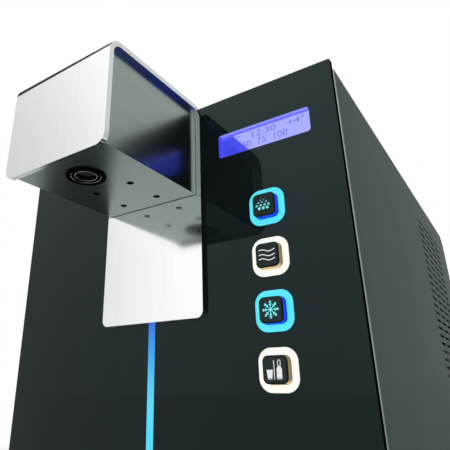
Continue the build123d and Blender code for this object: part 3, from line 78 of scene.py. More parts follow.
LEG_STRIP = (9.0 * MM, 5.0 * MM)  # where the matt strip by the glass, a painted reflection, fades in, ahead of the splash plate
LEG_STRIP_FOOT = 1.0 * MM
LEG_END = (5.0 * MM, 6.0 * MM)  # depth of the front leg, where its cut end fades out
BLUE_REFLECTION_LIP = (8.0 * MM, 7.0 * MM)  # below the band's top, where its bent lip starts and its painted blue reflection of the display begins
CORNER_STRIP = (8.5 * MM, 4.5 * MM)  # paler matt strip ahead of the splash plate, a painted reflection
SHADED_BORE_ZONE = (30.0 * MM, 32.0 * MM)  # half-width that holds the bores of the bottom plate, whose walls get painted shade
BRIGHT_EDGE = (1.5 * MM, 1.8 * MM)  # bare depth of the carrier's edge
BUBBLE_FADE = (-4.0 * MM, 6.0 * MM)  # heights over the key's middle

# Painted shade: a dark strip stands in for the shadow in the joint at the splash plate.
SHADOW_LINE_WIDTH = 0.42 * MM
SHADOW_LINE_GAP = 0.01 * MM
BORE_BEAD = 0.2 * MM
SLEEVE_BEAD = 0.16 * MM
BEAD_SIDES = 8
BEAD_TURNS = 72
PLUG_PROFILE = ((1.2, -0.34), (2.2, -0.26), (2.75, -0.10), (2.8, -0.01))  # radius, height in mm
PLUG_TURNS = 28
PLUG_PITCH = (36.0 * MM, 32.7 * MM)  # across and along the spout
PLUG_SETBACK = 32.15 * MM  # from the splash plate to the middle of the four
ROCKER_BAR = ((-0.4, -1.7), (0.4, -1.7), (0.4, 1.7), (-0.4, 1.7))  # in mm
ROCKER_RING = (1.5, 0.6, 28)  # radius and line width in mm, corners
ROCKER_MARK_RISE = 5.5 * MM
ROCKER_SLOPE = math.radians(9.0)

LAMP_LEVEL = 0.52  # even light on matt surfaces from the surroundings
FLOOR_SIZE = 40.0
FLOOR_NEAR = 1.0  # where the floor starts to turn white
FLOOR_FAR = 2.2  # where it is all white
FLOOR_MIRRORED = 0.72  # level of that white in a reflection

STUDIO_LEVELS = ((-0.10, 0.97), (0.12, 1.02), (0.45, 1.12))  # mirrored surroundings by height
STUDIO_GAPS = (
    # direction, inner and outer half-angle in degrees, level in the middle
    ((0.62, -0.74, 0.26), 26.0, 38.0, 0.03),
    ((-0.80, 0.08, 0.60), 21.0, 27.0, 0.02),
    ((-0.95, -0.25, 0.25), 14.0, 41.0, 0.60),
)

CAMERA_PLACE = (0.2390, -0.5106, 0.2385)  # the camera is fitted to the photograph
CAMERA_TURN = (111.29, 0.0, 35.60)  # in degrees
CAMERA_LENS = 37.21  # in mm
CAMERA_SHIFT = (0.1003, -0.0368)


# ------------------------------------------------------------------ node helpers
def new_finish(name, colour, rough, metal=0.0, ior=1.5):
    """A material whose shader has these even values."""
    finish = bpy.data.materials.new(name)
    finish.use_nodes = True
    shader = finish.node_tree.nodes["Principled BSDF"]
    shader.inputs["Base Color"].default_value = (*colour, 1)
    shader.inputs["Roughness"].default_value = rough
    shader.inputs["Metallic"].default_value = metal
    shader.inputs["IOR"].default_value = ior
    return finish, finish.node_tree, shader


def own_place(tree, stretch=(1, 1, 1), output="Object"):
    """The piece's own coordinates, scaled along each axis."""
    place = tree.nodes.new("ShaderNodeTexCoord")
    turn = tree.nodes.new("ShaderNodeMapping")
    turn.inputs["Scale"].default_value = stretch
    tree.links.new(place.outputs[output], turn.inputs["Vector"])
    return turn.outputs["Vector"]


def grain(tree, scale, stretch=(1, 1, 1), detail=3.0, rough=0.55):
    """Noise on the piece's own coordinates."""
    noise = tree.nodes.new("ShaderNodeTexNoise")
    noise.inputs["Scale"].default_value = scale
    noise.inputs["Detail"].default_value = detail
    noise.inputs["Roughness"].default_value = rough
    tree.links.new(own_place(tree, stretch), noise.inputs["Vector"])
    return noise.outputs[0]


def spread(tree, value, low, high, start=0.3, end=0.7):
    """Maps start..end of a value to low..high."""
    span = tree.nodes.new("ShaderNodeMapRange")
    span.inputs["From Min"].default_value = start
    span.inputs["From Max"].default_value = end
    span.inputs["To Min"].default_value = low
    span.inputs["To Max"].default_value = high
    tree.links.new(value, span.inputs["Value"])
    return span.outputs["Result"]


def colours(tree, value, *stops):
    """Colours along a value; each stop is a place from 0 to 1 and a colour."""
    ramp = tree.nodes.new("ShaderNodeValToRGB")
    points = ramp.color_ramp.elements
    points[0].position, points[0].color = stops[0][0], (*stops[0][1], 1)
    points[1].position, points[1].color = stops[-1][0], (*stops[-1][1], 1)
    for position, colour in stops[1:-1]:
        points.new(position).color = (*colour, 1)
    tree.links.new(value, ramp.inputs["Fac"])
    return ramp.outputs["Color"]


def combine(tree, first, second, how="ADD"):
    """Two values joined by one arithmetic step; each is a socket or a plain number."""
    maths = tree.nodes.new("ShaderNodeMath")
    maths.operation = how
    for value, socket in ((first, maths.inputs[0]), (second, maths.inputs[1])):
        if isinstance(value, (int, float)):
            socket.default_value = value
        else:
            tree.links.new(value, socket)
    return maths.outputs[0]


def times(tree, first, second):
    return combine(tree, first, second, "MULTIPLY")


def mixed(tree, share, first, second):
    """Two colours mixed by a share; each is a socket or plain numbers."""
    blend = tree.nodes.new("ShaderNodeMix")
    blend.data_type = "RGBA"
    tree.links.new(share, blend.inputs[0])
    for colour, socket in ((first, blend.inputs[6]), (second, blend.inputs[7])):
        if isinstance(colour, tuple):
            socket.default_value = (*colour, 1)
        else:
            tree.links.new(colour, socket)
    return blend.outputs[2]


def relief(tree, shader, height, depth):
    """Raises the surface by a pattern, depth in metres."""
    bump = tree.nodes.new("ShaderNodeBump")
    bump.inputs["Distance"].default_value = depth
    tree.links.new(height, bump.inputs["Height"])
    tree.links.new(bump.outputs["Normal"], shader.inputs["Normal"])


def axis_value(tree, output, axis):
    """One component of the piece's own position or normal."""
    parts = tree.nodes.new("ShaderNodeSeparateXYZ")
    tree.links.new(own_place(tree, output=output), parts.inputs[0])
    return parts.outputs[axis]


def facing(tree, axis, start, end):
    """1 where the surface looks down an axis, and 0 once its normal has turned past the end."""
    return spread(tree, axis_value(tree, "Normal", axis), 1.0, 0.0, start, end)


def facing_sideways(tree, start, end):
    """1 where the surface looks left or right."""
    side = combine(tree, axis_value(tree, "Normal", "X"), 0.0, "ABSOLUTE")
    return spread(tree, side, 0.0, 1.0, start, end)


def past(tree, axis, start, end):
    """0 up to a start place on the piece and 1 past the end place."""
    return spread(tree, axis_value(tree, "Object", axis), 0.0, 1.0, start, end)


def cell_pattern(tree, scale):
    """Rounded cells on the piece's own coordinates."""
    cells = tree.nodes.new("ShaderNodeTexVoronoi")
    cells.inputs["Scale"].default_value = scale
    tree.links.new(own_place(tree), cells.inputs["Vector"])
    return cells.outputs


def uneven_tone(tree, shader, value, dark, light):
    """A base colour that wanders between two tones with a value."""
    tree.links.new(colours(tree, value, (0.3, dark), (0.7, light)), shader.inputs["Base Color"])


def uneven_gloss(tree, shader, scale, low, high):
    """A roughness that wanders between two values."""
    tree.links.new(spread(tree, grain(tree, scale), low, high), shader.inputs["Roughness"])


def glow(tree, shader, colour):
    """Light that comes from the piece itself."""
    tree.links.new(colour, shader.inputs["Emission Color"])
    shader.inputs["Emission Strength"].default_value = 1.0


def uneven_glow(tree, shader, scale, dark, light):
    """Light of the piece's own that wanders between two tones."""
    glow(tree, shader, colours(tree, grain(tree, scale), (0.3, dark), (0.7, light)))


def brushed(name, dark, light, rough, scale, stretch, depth):
    """Metal with drawn-out brush lines of two widths."""
    finish, tree, shader = new_finish(name, light, rough[0], metal=1.0)
    fine = grain(tree, scale, stretch, detail=2.0)
    broad = grain(tree, scale * 0.22, stretch, detail=2.0)
    lines = times(tree, combine(tree, fine, broad), 0.5)
    tree.links.new(colours(tree, lines, (0.36, dark), (0.64, light)), shader.inputs["Base Color"])
    tree.links.new(spread(tree, lines, rough[1], rough[0]), shader.inputs["Roughness"])
    relief(tree, shader, fine, depth)
    return finish


def mottled(name, dark, light, rough, scale, depth, metal=0.0, ior=1.5):
    """Paint, plastic or metal with a soft uneven tone and a fine texture."""
    finish, tree, shader = new_finish(name, light, rough[0], metal, ior)
    uneven_tone(tree, shader, grain(tree, 14.0, detail=4.0), dark, light)
    uneven_gloss(tree, shader, 45.0, *rough)
    relief(tree, shader, grain(tree, scale, detail=2.0), depth)
    return finish


# ------------------------------------------------------------------ finishes
def brushed_band():
    """Mirror-like steel with faint upright brush lines and duller cut edges; painted blue
    reflection of the display on its lip, and a matt strip by the glass as a painted reflection.
    """
    finish, tree, shader = new_finish("brushed_band", (0.95, 0.96, 0.96), 0.1, metal=1.0)
    low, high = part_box("spout_band")
    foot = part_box("spout_bottom_plate")[0].z
    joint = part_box("spout_side_right")[1].y
    fine = grain(tree, 1700, ALONG_Z, detail=2.0)
    broad = grain(tree, 260, ALONG_Z, detail=3.0)
    edge = facing_sideways(tree, 0.80, 0.95)
    under = facing(tree, "Z", -0.95, -0.7)
    # Mask of the lip's underside, which gets a painted blue reflection of the display.
    lip = past(tree, "Z", high.z - BLUE_REFLECTION_LIP[0], high.z - BLUE_REFLECTION_LIP[1])
    lip = times(tree, facing(tree, "Z", -0.98, -0.9), lip)
    leg_end = axis_value(tree, "Object", "Y")
    leg_end = spread(tree, leg_end, 1.0, 0.0, low.y + LEG_END[0], low.y + LEG_END[1])
    leg_end = times(tree, leg_end, under)
    # Painted reflection: a matt grey-green strip by the glass stands in for the spout's underside
    # mirrored in the steel.
    painted_reflection_strip = past(tree, "Y", joint - LEG_STRIP[0], joint - LEG_STRIP[1])
    painted_reflection_strip = times(tree, painted_reflection_strip, past(tree, "Z", foot - LEG_STRIP_FOOT, foot))
    painted_reflection_strip = times(tree, painted_reflection_strip, combine(tree, 1.0, edge, "SUBTRACT"))

    tone = colours(tree, broad, (0.3, (0.935, 0.95, 0.95)), (0.7, (0.965, 0.975, 0.975)))
    tone = mixed(tree, edge, tone, (0.52, 0.55, 0.545))
    # Painted reflection: the lip is tinted with the display's blue light.
    tone = mixed(tree, lip, tone, (0.24, 0.32, 0.98))
    tone = mixed(tree, leg_end, tone, (0.52, 0.60, 0.57))
    # Painted reflection colour of the matt strip by the glass.
    tone = mixed(tree, painted_reflection_strip, tone, (0.36, 0.43, 0.395))
    tree.links.new(tone, shader.inputs["Base Color"])
    tree.links.new(spread(tree, painted_reflection_strip, 1.0, 0.1), shader.inputs["Metallic"])

    blur = combine(tree, spread(tree, fine, 0.0, 0.06), spread(tree, broad, 0.07, 0.11))
    blur = combine(tree, blur, times(tree, under, 0.24))
    blur = combine(tree, blur, times(tree, leg_end, -0.18))
    blur = combine(tree, blur, times(tree, painted_reflection_strip, 0.30))
    blur = combine(tree, blur, times(tree, edge, 0.12))
    tree.links.new(blur, shader.inputs["Roughness"])
    relief(tree, shader, fine, 0.0012 * MM)
    return finish


def satin_housing():
    """Satin sheet, with a paler matt strip up the rear corner of each side as a painted reflection,
    paler downward faces as painted light, and bore walls darkened as painted shade.
    """
    dark, light = (0.192, 0.240, 0.217), (0.206, 0.256, 0.232)
    finish, tree, shader = new_finish("satin_housing", light, 0.24, metal=1.0)
    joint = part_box("spout_side_right")[1].y
    fine = grain(tree, 1200, ALONG_Y, detail=2.0)
    lines = times(tree, combine(tree, fine, grain(tree, 264, ALONG_Y, detail=2.0)), 0.5)
    # Painted reflection: a paler, barely metallic strip up the rear corner of each side.
    painted_reflection_strip = past(tree, "Y", joint - CORNER_STRIP[0], joint - CORNER_STRIP[1])
    painted_reflection_strip = times(tree, painted_reflection_strip, facing_sideways(tree, 0.8, 0.95))
    level = combine(tree, axis_value(tree, "Normal", "Z"), 0.0, "ABSOLUTE")
    across = combine(tree, axis_value(tree, "Object", "X"), 0.0, "ABSOLUTE")
    # Painted shade: the bore walls of the bottom plate are made near black and not metallic.
    bore = spread(tree, level, 1.0, 0.0, 0.4, 0.6)
    bore = times(tree, bore, spread(tree, across, 1.0, 0.0, *SHADED_BORE_ZONE))
    under = facing(tree, "Z", -0.98, -0.9)

    tone = colours(tree, lines, (0.36, dark), (0.64, light))
    # Painted light: faces that look down are given a paler tone.
    tone = mixed(tree, times(tree, under, 0.8), tone, (0.238, 0.302, 0.273))
    tone = mixed(tree, painted_reflection_strip, tone, (0.34, 0.41, 0.375))
    tree.links.new(mixed(tree, bore, tone, (0.004, 0.004, 0.005)), shader.inputs["Base Color"])
    bare = times(tree, spread(tree, painted_reflection_strip, 1.0, 0.15), spread(tree, bore, 1.0, 0.0))
    tree.links.new(bare, shader.inputs["Metallic"])
    blur = combine(tree, spread(tree, lines, 0.27, 0.22), times(tree, painted_reflection_strip, 0.3))
    blur = combine(tree, blur, times(tree, under, 0.05))
    tree.links.new(blur, shader.inputs["Roughness"])
    relief(tree, shader, fine, 0.001 * MM)
    return finish


def sheet_steel():
    tones = (0.52, 0.53, 0.53), (0.62, 0.63, 0.63)
    return brushed("sheet_steel", *tones, (0.28, 0.38), 700, ALONG_Y, 0.006 * MM)


def stainless():
    tones = (0.60, 0.61, 0.62), (0.72, 0.73, 0.74)
    return brushed("stainless", *tones, (0.22, 0.32), 800, ALONG_Z, 0.006 * MM)


def grille_steel():
    tones = (0.58, 0.59, 0.59), (0.70, 0.71, 0.71)
    return brushed("grille_steel", *tones, (0.24, 0.34), 1000, ALONG_X, 0.008 * MM)


def aluminium_edge():
    """Sawn aluminium edge, bright at the glass and painted over behind it."""
    finish, tree, shader = new_finish("aluminium_edge", (0.25, 0.33, 0.29), 0.35, metal=1.0)
    glass_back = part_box("front_carrier")[0].y
    saw = grain(tree, 900, ALONG_Y)
    bare_from, bare_to = (glass_back + depth for depth in BRIGHT_EDGE)
    bright = spread(tree, axis_value(tree, "Object", "Y"), 1.0, 0.0, bare_from, bare_to)
    metal = colours(tree, saw, (0.3, (0.18, 0.255, 0.225)), (0.7, (0.23, 0.305, 0.27)))
    tree.links.new(mixed(tree, bright, (0.045, 0.062, 0.056), metal), shader.inputs["Base Color"])
    uneven_gloss(tree, shader, 45.0, 0.30, 0.40)
    relief(tree, shader, saw, 0.005 * MM)
    return finish


def fin_aluminium():
    tones = (0.62, 0.63, 0.64), (0.74, 0.75, 0.76)
    return brushed("fin_aluminium", *tones, (0.28, 0.40), 600, ALONG_Z, 0.008 * MM)


def fasteners():
    tones = (0.50, 0.51, 0.52), (0.66, 0.67, 0.68)
    return brushed("fasteners", *tones, (0.22, 0.34), 2400, (1, 1, 1), 0.010 * MM)


def polished_steel():
    tones = (0.72, 0.73, 0.73), (0.80, 0.81, 0.81)
    return brushed("polished_steel", *tones, (0.06, 0.12), 1800, (1, 1, 0.1), 0.002 * MM)


def brass():
    tones = (0.62, 0.46, 0.20), (0.76, 0.58, 0.28)
    return brushed("brass", *tones, (0.22, 0.34), 1800, ALONG_X, 0.010 * MM)


def galvanised_steel():
    """Zinc crystals of uneven tone."""
    finish, tree, shader = new_finish("galvanised_steel", (0.55, 0.57, 0.58), 0.42, metal=1.0)
    cells = cell_pattern(tree, 130.0)
    tone = times(tree, cells["Color"], grain(tree, 30.0))
    zinc = colours(tree, tone, (0.0, (0.46, 0.48, 0.49)), (0.6, (0.66, 0.68, 0.69)))
    tree.links.new(zinc, shader.inputs["Base Color"])
    tree.links.new(spread(tree, tone, 0.34, 0.52, 0.0, 0.6), shader.inputs["Roughness"])
    relief(tree, shader, cells["Distance"], 0.02 * MM)
    return finish


def copper():
    """Drawn tube with darker oxidised patches."""
    finish, tree, shader = new_finish("copper", (0.72, 0.38, 0.24), 0.3, metal=1.0)
    patches = grain(tree, 35.0, detail=5.0)
    stops = (0.3, (0.36, 0.17, 0.10)), (0.55, (0.70, 0.36, 0.22)), (0.8, (0.80, 0.46, 0.30))
    tree.links.new(colours(tree, patches, *stops), shader.inputs["Base Color"])
    tree.links.new(spread(tree, patches, 0.5, 0.22), shader.inputs["Roughness"])
    relief(tree, shader, grain(tree, 900.0, (1, 1, 0.1)), 0.01 * MM)
    return finish


def cabinet_paint():
    """Satin powder coat with a fine orange peel and faint patches."""
    finish, tree, shader = new_finish("cabinet_paint", (0.0305, 0.0565, 0.049), 0.45, ior=1.065)
    shader.inputs["Specular Tint"].default_value = (0.68, 0.98, 0.88, 1)
    patches = grain(tree, 9.0, detail=4.0)
    uneven_tone(tree, shader, patches, (0.0275, 0.052, 0.045), (0.0335, 0.061, 0.053))
    uneven_gloss(tree, shader, 6.0, 0.42, 0.45)
    relief(tree, shader, grain(tree, 1400.0, detail=1.0), 0.004 * MM)
    return finish


def black_glass():
    """Back-painted glass with faint wipe marks and ground edges; its reflection is painted weaker
    towards its foot.
    """
    finish, tree, shader = new_finish("black_glass", (0.0060, 0.0103, 0.0105), 0.03, ior=1.33)
    shader.inputs["Specular Tint"].default_value = (0.66, 0.98, 1.0, 1)
    wipes = grain(tree, 16.0, (1.0, 1.0, 0.35), detail=5.0)
    front = facing(tree, "Y", -0.95, -0.7)
    ground = times(tree, combine(tree, 1.0, front, "SUBTRACT"), 0.9)
    blur = combine(tree, spread(tree, wipes, 0.025, 0.05), ground)
    tree.links.new(blur, shader.inputs["Roughness"])
    face = colours(tree, wipes, (0.3, (0.0055, 0.0095, 0.0097)), (0.7, (0.0066, 0.0111, 0.0113)))
    tree.links.new(mixed(tree, front, (0.0010, 0.0010, 0.0010), face), shader.inputs["Base Color"])
    low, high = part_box("front_glass")
    quarter = low.z + 0.25 * (high.z - low.z)
    # Painted reflection: the front's reflection is made weaker towards the glass's foot.
    painted_reflection_fade = spread(tree, axis_value(tree, "Object", "Z"), 0.28, 0.62, quarter, high.z)
    tree.links.new(times(tree, front, painted_reflection_fade), shader.inputs["Specular IOR Level"])
    relief(tree, shader, grain(tree, 3.0, detail=1.0), 0.01 * MM)
    return finish


def black_satin():
    tones = (0.016, 0.016, 0.017), (0.028, 0.028, 0.030)
    return mottled("black_satin", *tones, (0.38, 0.52), 1600, 0.02 * MM)


def rocker_black():
    tones = (0.012, 0.012, 0.012), (0.022, 0.022, 0.022)
    return mottled("rocker_black", *tones, (0.20, 0.30), 1200, 0.006 * MM)


def rubber():
    tones = (0.018, 0.018, 0.018), (0.036, 0.036, 0.036)
    return mottled("rubber", *tones, (0.62, 0.82), 1500, 0.04 * MM)


def black_paint():
    tones = (0.012, 0.012, 0.012), (0.026, 0.026, 0.026)
    return mottled("black_paint", *tones, (0.34, 0.50), 1100, 0.02 * MM)


def motor_steel():
    tones = (0.24, 0.25, 0.26), (0.33, 0.34, 0.35)
    return mottled("motor_steel", *tones, (0.34, 0.48), 900, 0.02 * MM)


def insulated_tank():
    """Moulded foam with small closed cells and a slightly yellowed tone."""
    finish, tree, shader = new_finish("insulated_tank", (0.74, 0.73, 0.68), 0.8)
    uneven_tone(tree, shader, grain(tree, 12.0), (0.66, 0.64, 0.57), (0.78, 0.77, 0.73))
    uneven_gloss(tree, shader, 80.0, 0.7, 0.9)
    relief(tree, shader, cell_pattern(tree, 420.0)["Distance"], 0.25 * MM)
    return finish


def circuit_board():
    """Solder resist over a pattern of copper tracks."""
    finish, tree, shader = new_finish("circuit_board", (0.02, 0.14, 0.06), 0.35)
    tracks = tree.nodes.new("ShaderNodeTexBrick")
    tracks.inputs["Scale"].default_value = 130.0
    tracks.inputs["Mortar Size"].default_value = 0.03
    tracks.inputs["Color1"].default_value = (0.010, 0.085, 0.035, 1)
    tracks.inputs["Color2"].default_value = (0.018, 0.120, 0.050, 1)
    tracks.inputs["Mortar"].default_value = (0.060, 0.260, 0.110, 1)
    turn = tree.nodes.new("ShaderNodeMapping")
    turn.inputs["Rotation"].default_value = (math.pi / 2, 0, 0)
    tree.links.new(own_place(tree), turn.inputs["Vector"])
    tree.links.new(turn.outputs["Vector"], tracks.inputs["Vector"])
    tree.links.new(tracks.outputs["Color"], shader.inputs["Base Color"])
    uneven_gloss(tree, shader, 90.0, 0.28, 0.42)
    relief(tree, shader, tracks.outputs["Fac"], 0.03 * MM)
    return finish


def clear_tube():
    """Natural polyethylene, milky and slightly see-through."""
    finish, tree, shader = new_finish("clear_tube", (0.80, 0.84, 0.86), 0.3)
    shader.inputs["Transmission Weight"].default_value = 0.45
    uneven_tone(tree, shader, grain(tree, 40.0), (0.70, 0.75, 0.78), (0.84, 0.88, 0.90))
    uneven_gloss(tree, shader, 120.0, 0.24, 0.4)
    relief(tree, shader, grain(tree, 700.0, (1, 0.1, 1)), 0.01 * MM)
    return finish


def lit_plastic(name, face, wall, base):
    """Frosted plastic lit from behind: bright on its front face, deeper on its walls."""
    finish, tree, shader = new_finish(name, base, 0.4)
    glow(tree, shader, colours(tree, facing(tree, "Y", -0.9, -0.5), (0.0, wall), (1.0, face)))
    cloud = grain(tree, 160.0, detail=2.0)
    tree.links.new(spread(tree, cloud, 0.34, 0.5), shader.inputs["Roughness"])
    relief(tree, shader, grain(tree, 1500.0), 0.008 * MM)
    return finish


def ring_cyan():
    face, wall = (0.070, 0.71, 0.83), (0.001, 0.010, 0.10)
    return lit_plastic("ring_cyan", face, wall, (0.02, 0.10, 0.12))


def ring_white():
    face, wall = (0.86, 0.85, 0.78), (0.035, 0.022, 0.010)
    return lit_plastic("ring_white", face, wall, (0.20, 0.19, 0.17))


def cap(name, wall_side, wall_under):
    """Charcoal key with a black bevel; the light round it shows on its walls."""
    finish, tree, shader = new_finish(name, (0.011, 0.015, 0.015), 0.42, ior=1.33)
    shader.inputs["Specular Tint"].default_value = (0.74, 1.0, 1.0, 1)
    speckle = grain(tree, 1600.0, detail=2.0)
    face = facing(tree, "Y", -0.995, -0.96)
    charcoal = colours(tree, speckle, (0.3, (0.008, 0.012, 0.012)), (0.7, (0.014, 0.019, 0.019)))
    tone = mixed(tree, face, (0.0015, 0.0015, 0.0015), charcoal)
    tree.links.new(tone, shader.inputs["Base Color"])
    lit = spread(tree, axis_value(tree, "Normal", "Y"), 0.0, 1.0, -0.3, -0.15)
    wall = colours(tree, facing(tree, "Z", -0.9, -0.3), (0.0, wall_side), (1.0, wall_under))
    glow(tree, shader, mixed(tree, lit, (0.0, 0.0, 0.0), wall))
    uneven_gloss(tree, shader, 300.0, 0.36, 0.48)
    relief(tree, shader, speckle, 0.012 * MM)
    return finish


def cap_cool():
    return cap("cap_cool", (0.0, 0.016, 0.78), (0.0, 0.020, 0.80))


def cap_warm():
    return cap("cap_warm", (0.21, 0.14, 0.05), (0.72, 0.46, 0.20))


def light_strip():
    """Frosted light guide, deeper blue towards its top."""
    finish, tree, shader = new_finish("light_strip", (0.004, 0.01, 0.02), 0.4, ior=1.3)
    low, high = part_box("led_light_guide")
    stops = (0.72, (0.092, 0.68, 0.93)), (0.86, (0.048, 0.38, 0.86)), (0.99, (0.022, 0.13, 0.70))
    glow(tree, shader, colours(tree, past(tree, "Z", low.z, high.z), *stops))
    uneven_gloss(tree, shader, 200.0, 0.3, 0.45)
    relief(tree, shader, grain(tree, 1500.0), 0.006 * MM)
    return finish


def display_blue():
    """Backlit display under a mirror-like cover."""
    finish, tree, shader = new_finish("display_blue", (0.004, 0.004, 0.02), 0.05, ior=3.7)
    cloud = grain(tree, 55.0, detail=2.0)
    tones = (0.3, (0.040, 0.048, 0.78)), (0.7, (0.055, 0.066, 0.85))
    glow(tree, shader, colours(tree, cloud, *tones))
    uneven_gloss(tree, shader, 30.0, 0.06, 0.12)
    relief(tree, shader, grain(tree, 2500.0), 0.001 * MM)
    return finish


def display_wall():
    """Blue light on the walls of the display opening."""
    finish, tree, shader = new_finish("display_wall", (0.02, 0.02, 0.05), 0.2)
    lit = colours(tree, grain(tree, 90.0), (0.3, (0.22, 0.23, 0.84)), (0.7, (0.26, 0.27, 0.90)))
    upright = facing_sideways(tree, 0.3, 0.7)
    glow(tree, shader, mixed(tree, upright, lit, (0.035, 0.04, 0.80)))
    uneven_gloss(tree, shader, 200.0, 0.16, 0.3)
    return finish


def display_digit():
    """Darker liquid-crystal strokes."""
    finish, tree, shader = new_finish("display_digit", (0.02, 0.02, 0.06), 0.1, ior=2.0)
    uneven_glow(tree, shader, 300.0, (0.030, 0.030, 0.46), (0.045, 0.045, 0.54))
    uneven_gloss(tree, shader, 120.0, 0.08, 0.14)
    return finish


def print_cyan():
    """Cyan printing lit from behind."""
    finish, tree, shader = new_finish("print_cyan", (0.08, 0.4, 0.4), 0.45)
    uneven_glow(tree, shader, 700.0, (0.13, 0.70, 0.72), (0.17, 0.84, 0.86))
    uneven_gloss(tree, shader, 600.0, 0.4, 0.5)
    return finish


def bubble_print():
    """Cyan printing that fades towards the smallest bubbles."""
    finish, tree, shader = new_finish("bubble_print", (0.02, 0.05, 0.05), 0.45)
    middle = key_face(1)[2]
    rise = past(tree, "Z", middle + BUBBLE_FADE[0], middle + BUBBLE_FADE[1])
    stops = (0.2, (0.15, 0.78, 0.80)), (0.6, (0.09, 0.45, 0.47)), (0.95, (0.012, 0.06, 0.065))
    glow(tree, shader, colours(tree, rise, *stops))
    uneven_gloss(tree, shader, 600.0, 0.4, 0.5)
    return finish


def nozzle_black():
    """Matt black moulding round the nozzle."""
    tones = (0.0010, 0.0010, 0.0010), (0.0022, 0.0022, 0.0022)
    return mottled("nozzle_black", *tones, (0.55, 0.70), 1600, 0.01 * MM, ior=1.05)


def nozzle_steel():
    """Polished lip facing down; the bore above it gets painted shade, a near-black colour."""
    finish, tree, shader = new_finish("nozzle_steel", (0.7, 0.72, 0.72), 0.12, metal=1.0)
    lip = facing(tree, "Z", -0.8, -0.4)
    shine = colours(tree, grain(tree, 900.0), (0.3, (0.66, 0.70, 0.70)), (0.7, (0.78, 0.82, 0.82)))
    # Painted shade: steel that does not face down gets a near-black colour.
    tree.links.new(mixed(tree, lip, (0.05, 0.056, 0.056), shine), shader.inputs["Base Color"])
    uneven_gloss(tree, shader, 300.0, 0.10, 0.18)
    return finish


def print_white():
    """White printing lit from behind."""
    finish, tree, shader = new_finish("print_white", (0.06, 0.065, 0.065), 0.45)
    uneven_glow(tree, shader, 700.0, (0.66, 0.68, 0.67), (0.78, 0.80, 0.79))
    uneven_gloss(tree, shader, 600.0, 0.4, 0.5)
    return finish


FINISHES = (
    galvanised_steel, rubber, fasteners, black_glass, aluminium_edge, cabinet_paint, brushed_band,
    satin_housing, sheet_steel, black_satin, polished_steel, clear_tube, light_strip, display_blue,
    circuit_board, ring_cyan, ring_white, grille_steel, black_paint, fin_aluminium, motor_steel,
    insulated_tank, copper, stainless, brass, rocker_black,
)


def finish_cad_nodes():
    """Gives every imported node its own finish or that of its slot, and returns them by name."""
    made = {build.__name__: build() for build in FINISHES}
    made["button_cap_1"] = made["button_cap_3"] = cap_cool()
    made["button_cap_2"] = made["button_cap_4"] = cap_warm()
    made["nozzle_bezel"] = made["nozzle_body"] = nozzle_black()
    made["nozzle_sleeve"] = nozzle_steel()
    for subpart in frame["record"]["subparts"]:
        node = subpart["node"]
        slot = node if node in made else subpart["material_slot"]
        for place in frame["nodes"][node].material_slots:
            place.material = made[slot]
    return made


# ------------------------------------------------------------------ shapes
def keep(name, mesh, finish, body):
    """A finished piece at the origin, riding on a body."""
    piece = bpy.data.objects.new(name, mesh)
    bpy.context.scene.collection.objects.link(piece)
    mesh.materials.clear()
    mesh.materials.append(finish)
    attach(piece, body)
    return piece


def as_mesh(name, shape):
    """A mesh of a working shape, which is then let go."""
    mesh = bpy.data.meshes.new(name)
    shape.to_mesh(mesh)
    shape.free()
    return mesh


def raised_outline(points, y_face):
    """A flat printed shape from its x, z outline, standing a hair proud of a front face."""
    shape = bmesh.new()
    y_back = y_face - PRINT_RAISE
    back = [shape.verts.new((x, y_back, z)) for x, z in points]
    front = [shape.verts.new((x, y_back - PRINT_THICKNESS, z)) for x, z in points]
    shape.faces.new(front)
    shape.faces.new(list(reversed(back)))
    for index in range(len(points)):
        after = (index + 1) % len(points)
        shape.faces.new((front[index], back[index], back[after], front[after]))
    bmesh.ops.recalc_face_normals(shape, faces=shape.faces)
    return shape


def ribbon(points, width):
    """The outline of a line of even width through x, z points."""
    left, right = [], []
    for index, (x, z) in enumerate(points):
        before = Vector(points[max(index - 1, 0)])
        after = Vector(points[min(index + 1, len(points) - 1)])
        along = (after - before).normalized()
        side = Vector((-along.y, along.x)) * width / 2
        left.append((x + side.x, z + side.y))
        right.append((x - side.x, z - side.y))
    return left + right[::-1]


def merged(meshes):
    """Several meshes as one working shape."""
    whole = bmesh.new()
    for mesh in meshes:
        whole.from_mesh(mesh)
        bpy.data.meshes.remove(mesh)
    return whole


def repeat_tree():
    """Puts one shape on every point, turned and sized by the point's own values."""
    tree = bpy.data.node_groups.new("repeat_shape", "GeometryNodeTree")
    sockets = tree.interface
    sockets.new_socket("Points", in_out="INPUT", socket_type="NodeSocketGeometry")
    sockets.new_socket("Shape", in_out="INPUT", socket_type="NodeSocketObject")
    sockets.new_socket("Finish", in_out="INPUT", socket_type="NodeSocketMaterial")
    sockets.new_socket("Pieces", in_out="OUTPUT", socket_type="NodeSocketGeometry")
    nodes = tree.nodes
    given = nodes.new("NodeGroupInput")
    result = nodes.new("NodeGroupOutput")
    shape = nodes.new("GeometryNodeObjectInfo")
    turn = nodes.new("GeometryNodeInputNamedAttribute")
    turn.data_type = "FLOAT_VECTOR"
    turn.inputs["Name"].default_value = "turn"
    size = nodes.new("GeometryNodeInputNamedAttribute")
    size.data_type = "FLOAT_VECTOR"
    size.inputs["Name"].default_value = "size"
    place = nodes.new("GeometryNodeInstanceOnPoints")
    real = nodes.new("GeometryNodeRealizeInstances")
    paint = nodes.new("GeometryNodeSetMaterial")
    links = tree.links
    links.new(given.outputs["Points"], place.inputs["Points"])
    links.new(given.outputs["Shape"], shape.inputs["Object"])
    links.new(shape.outputs["Geometry"], place.inputs["Instance"])
    links.new(turn.outputs["Attribute"], place.inputs["Rotation"])
    links.new(size.outputs["Attribute"], place.inputs["Scale"])
    links.new(place.outputs["Instances"], real.inputs["Geometry"])
    links.new(real.outputs["Geometry"], paint.inputs["Geometry"])
    links.new(given.outputs["Finish"], paint.inputs["Material"])
    links.new(paint.outputs["Geometry"], result.inputs["Pieces"])
    return tree


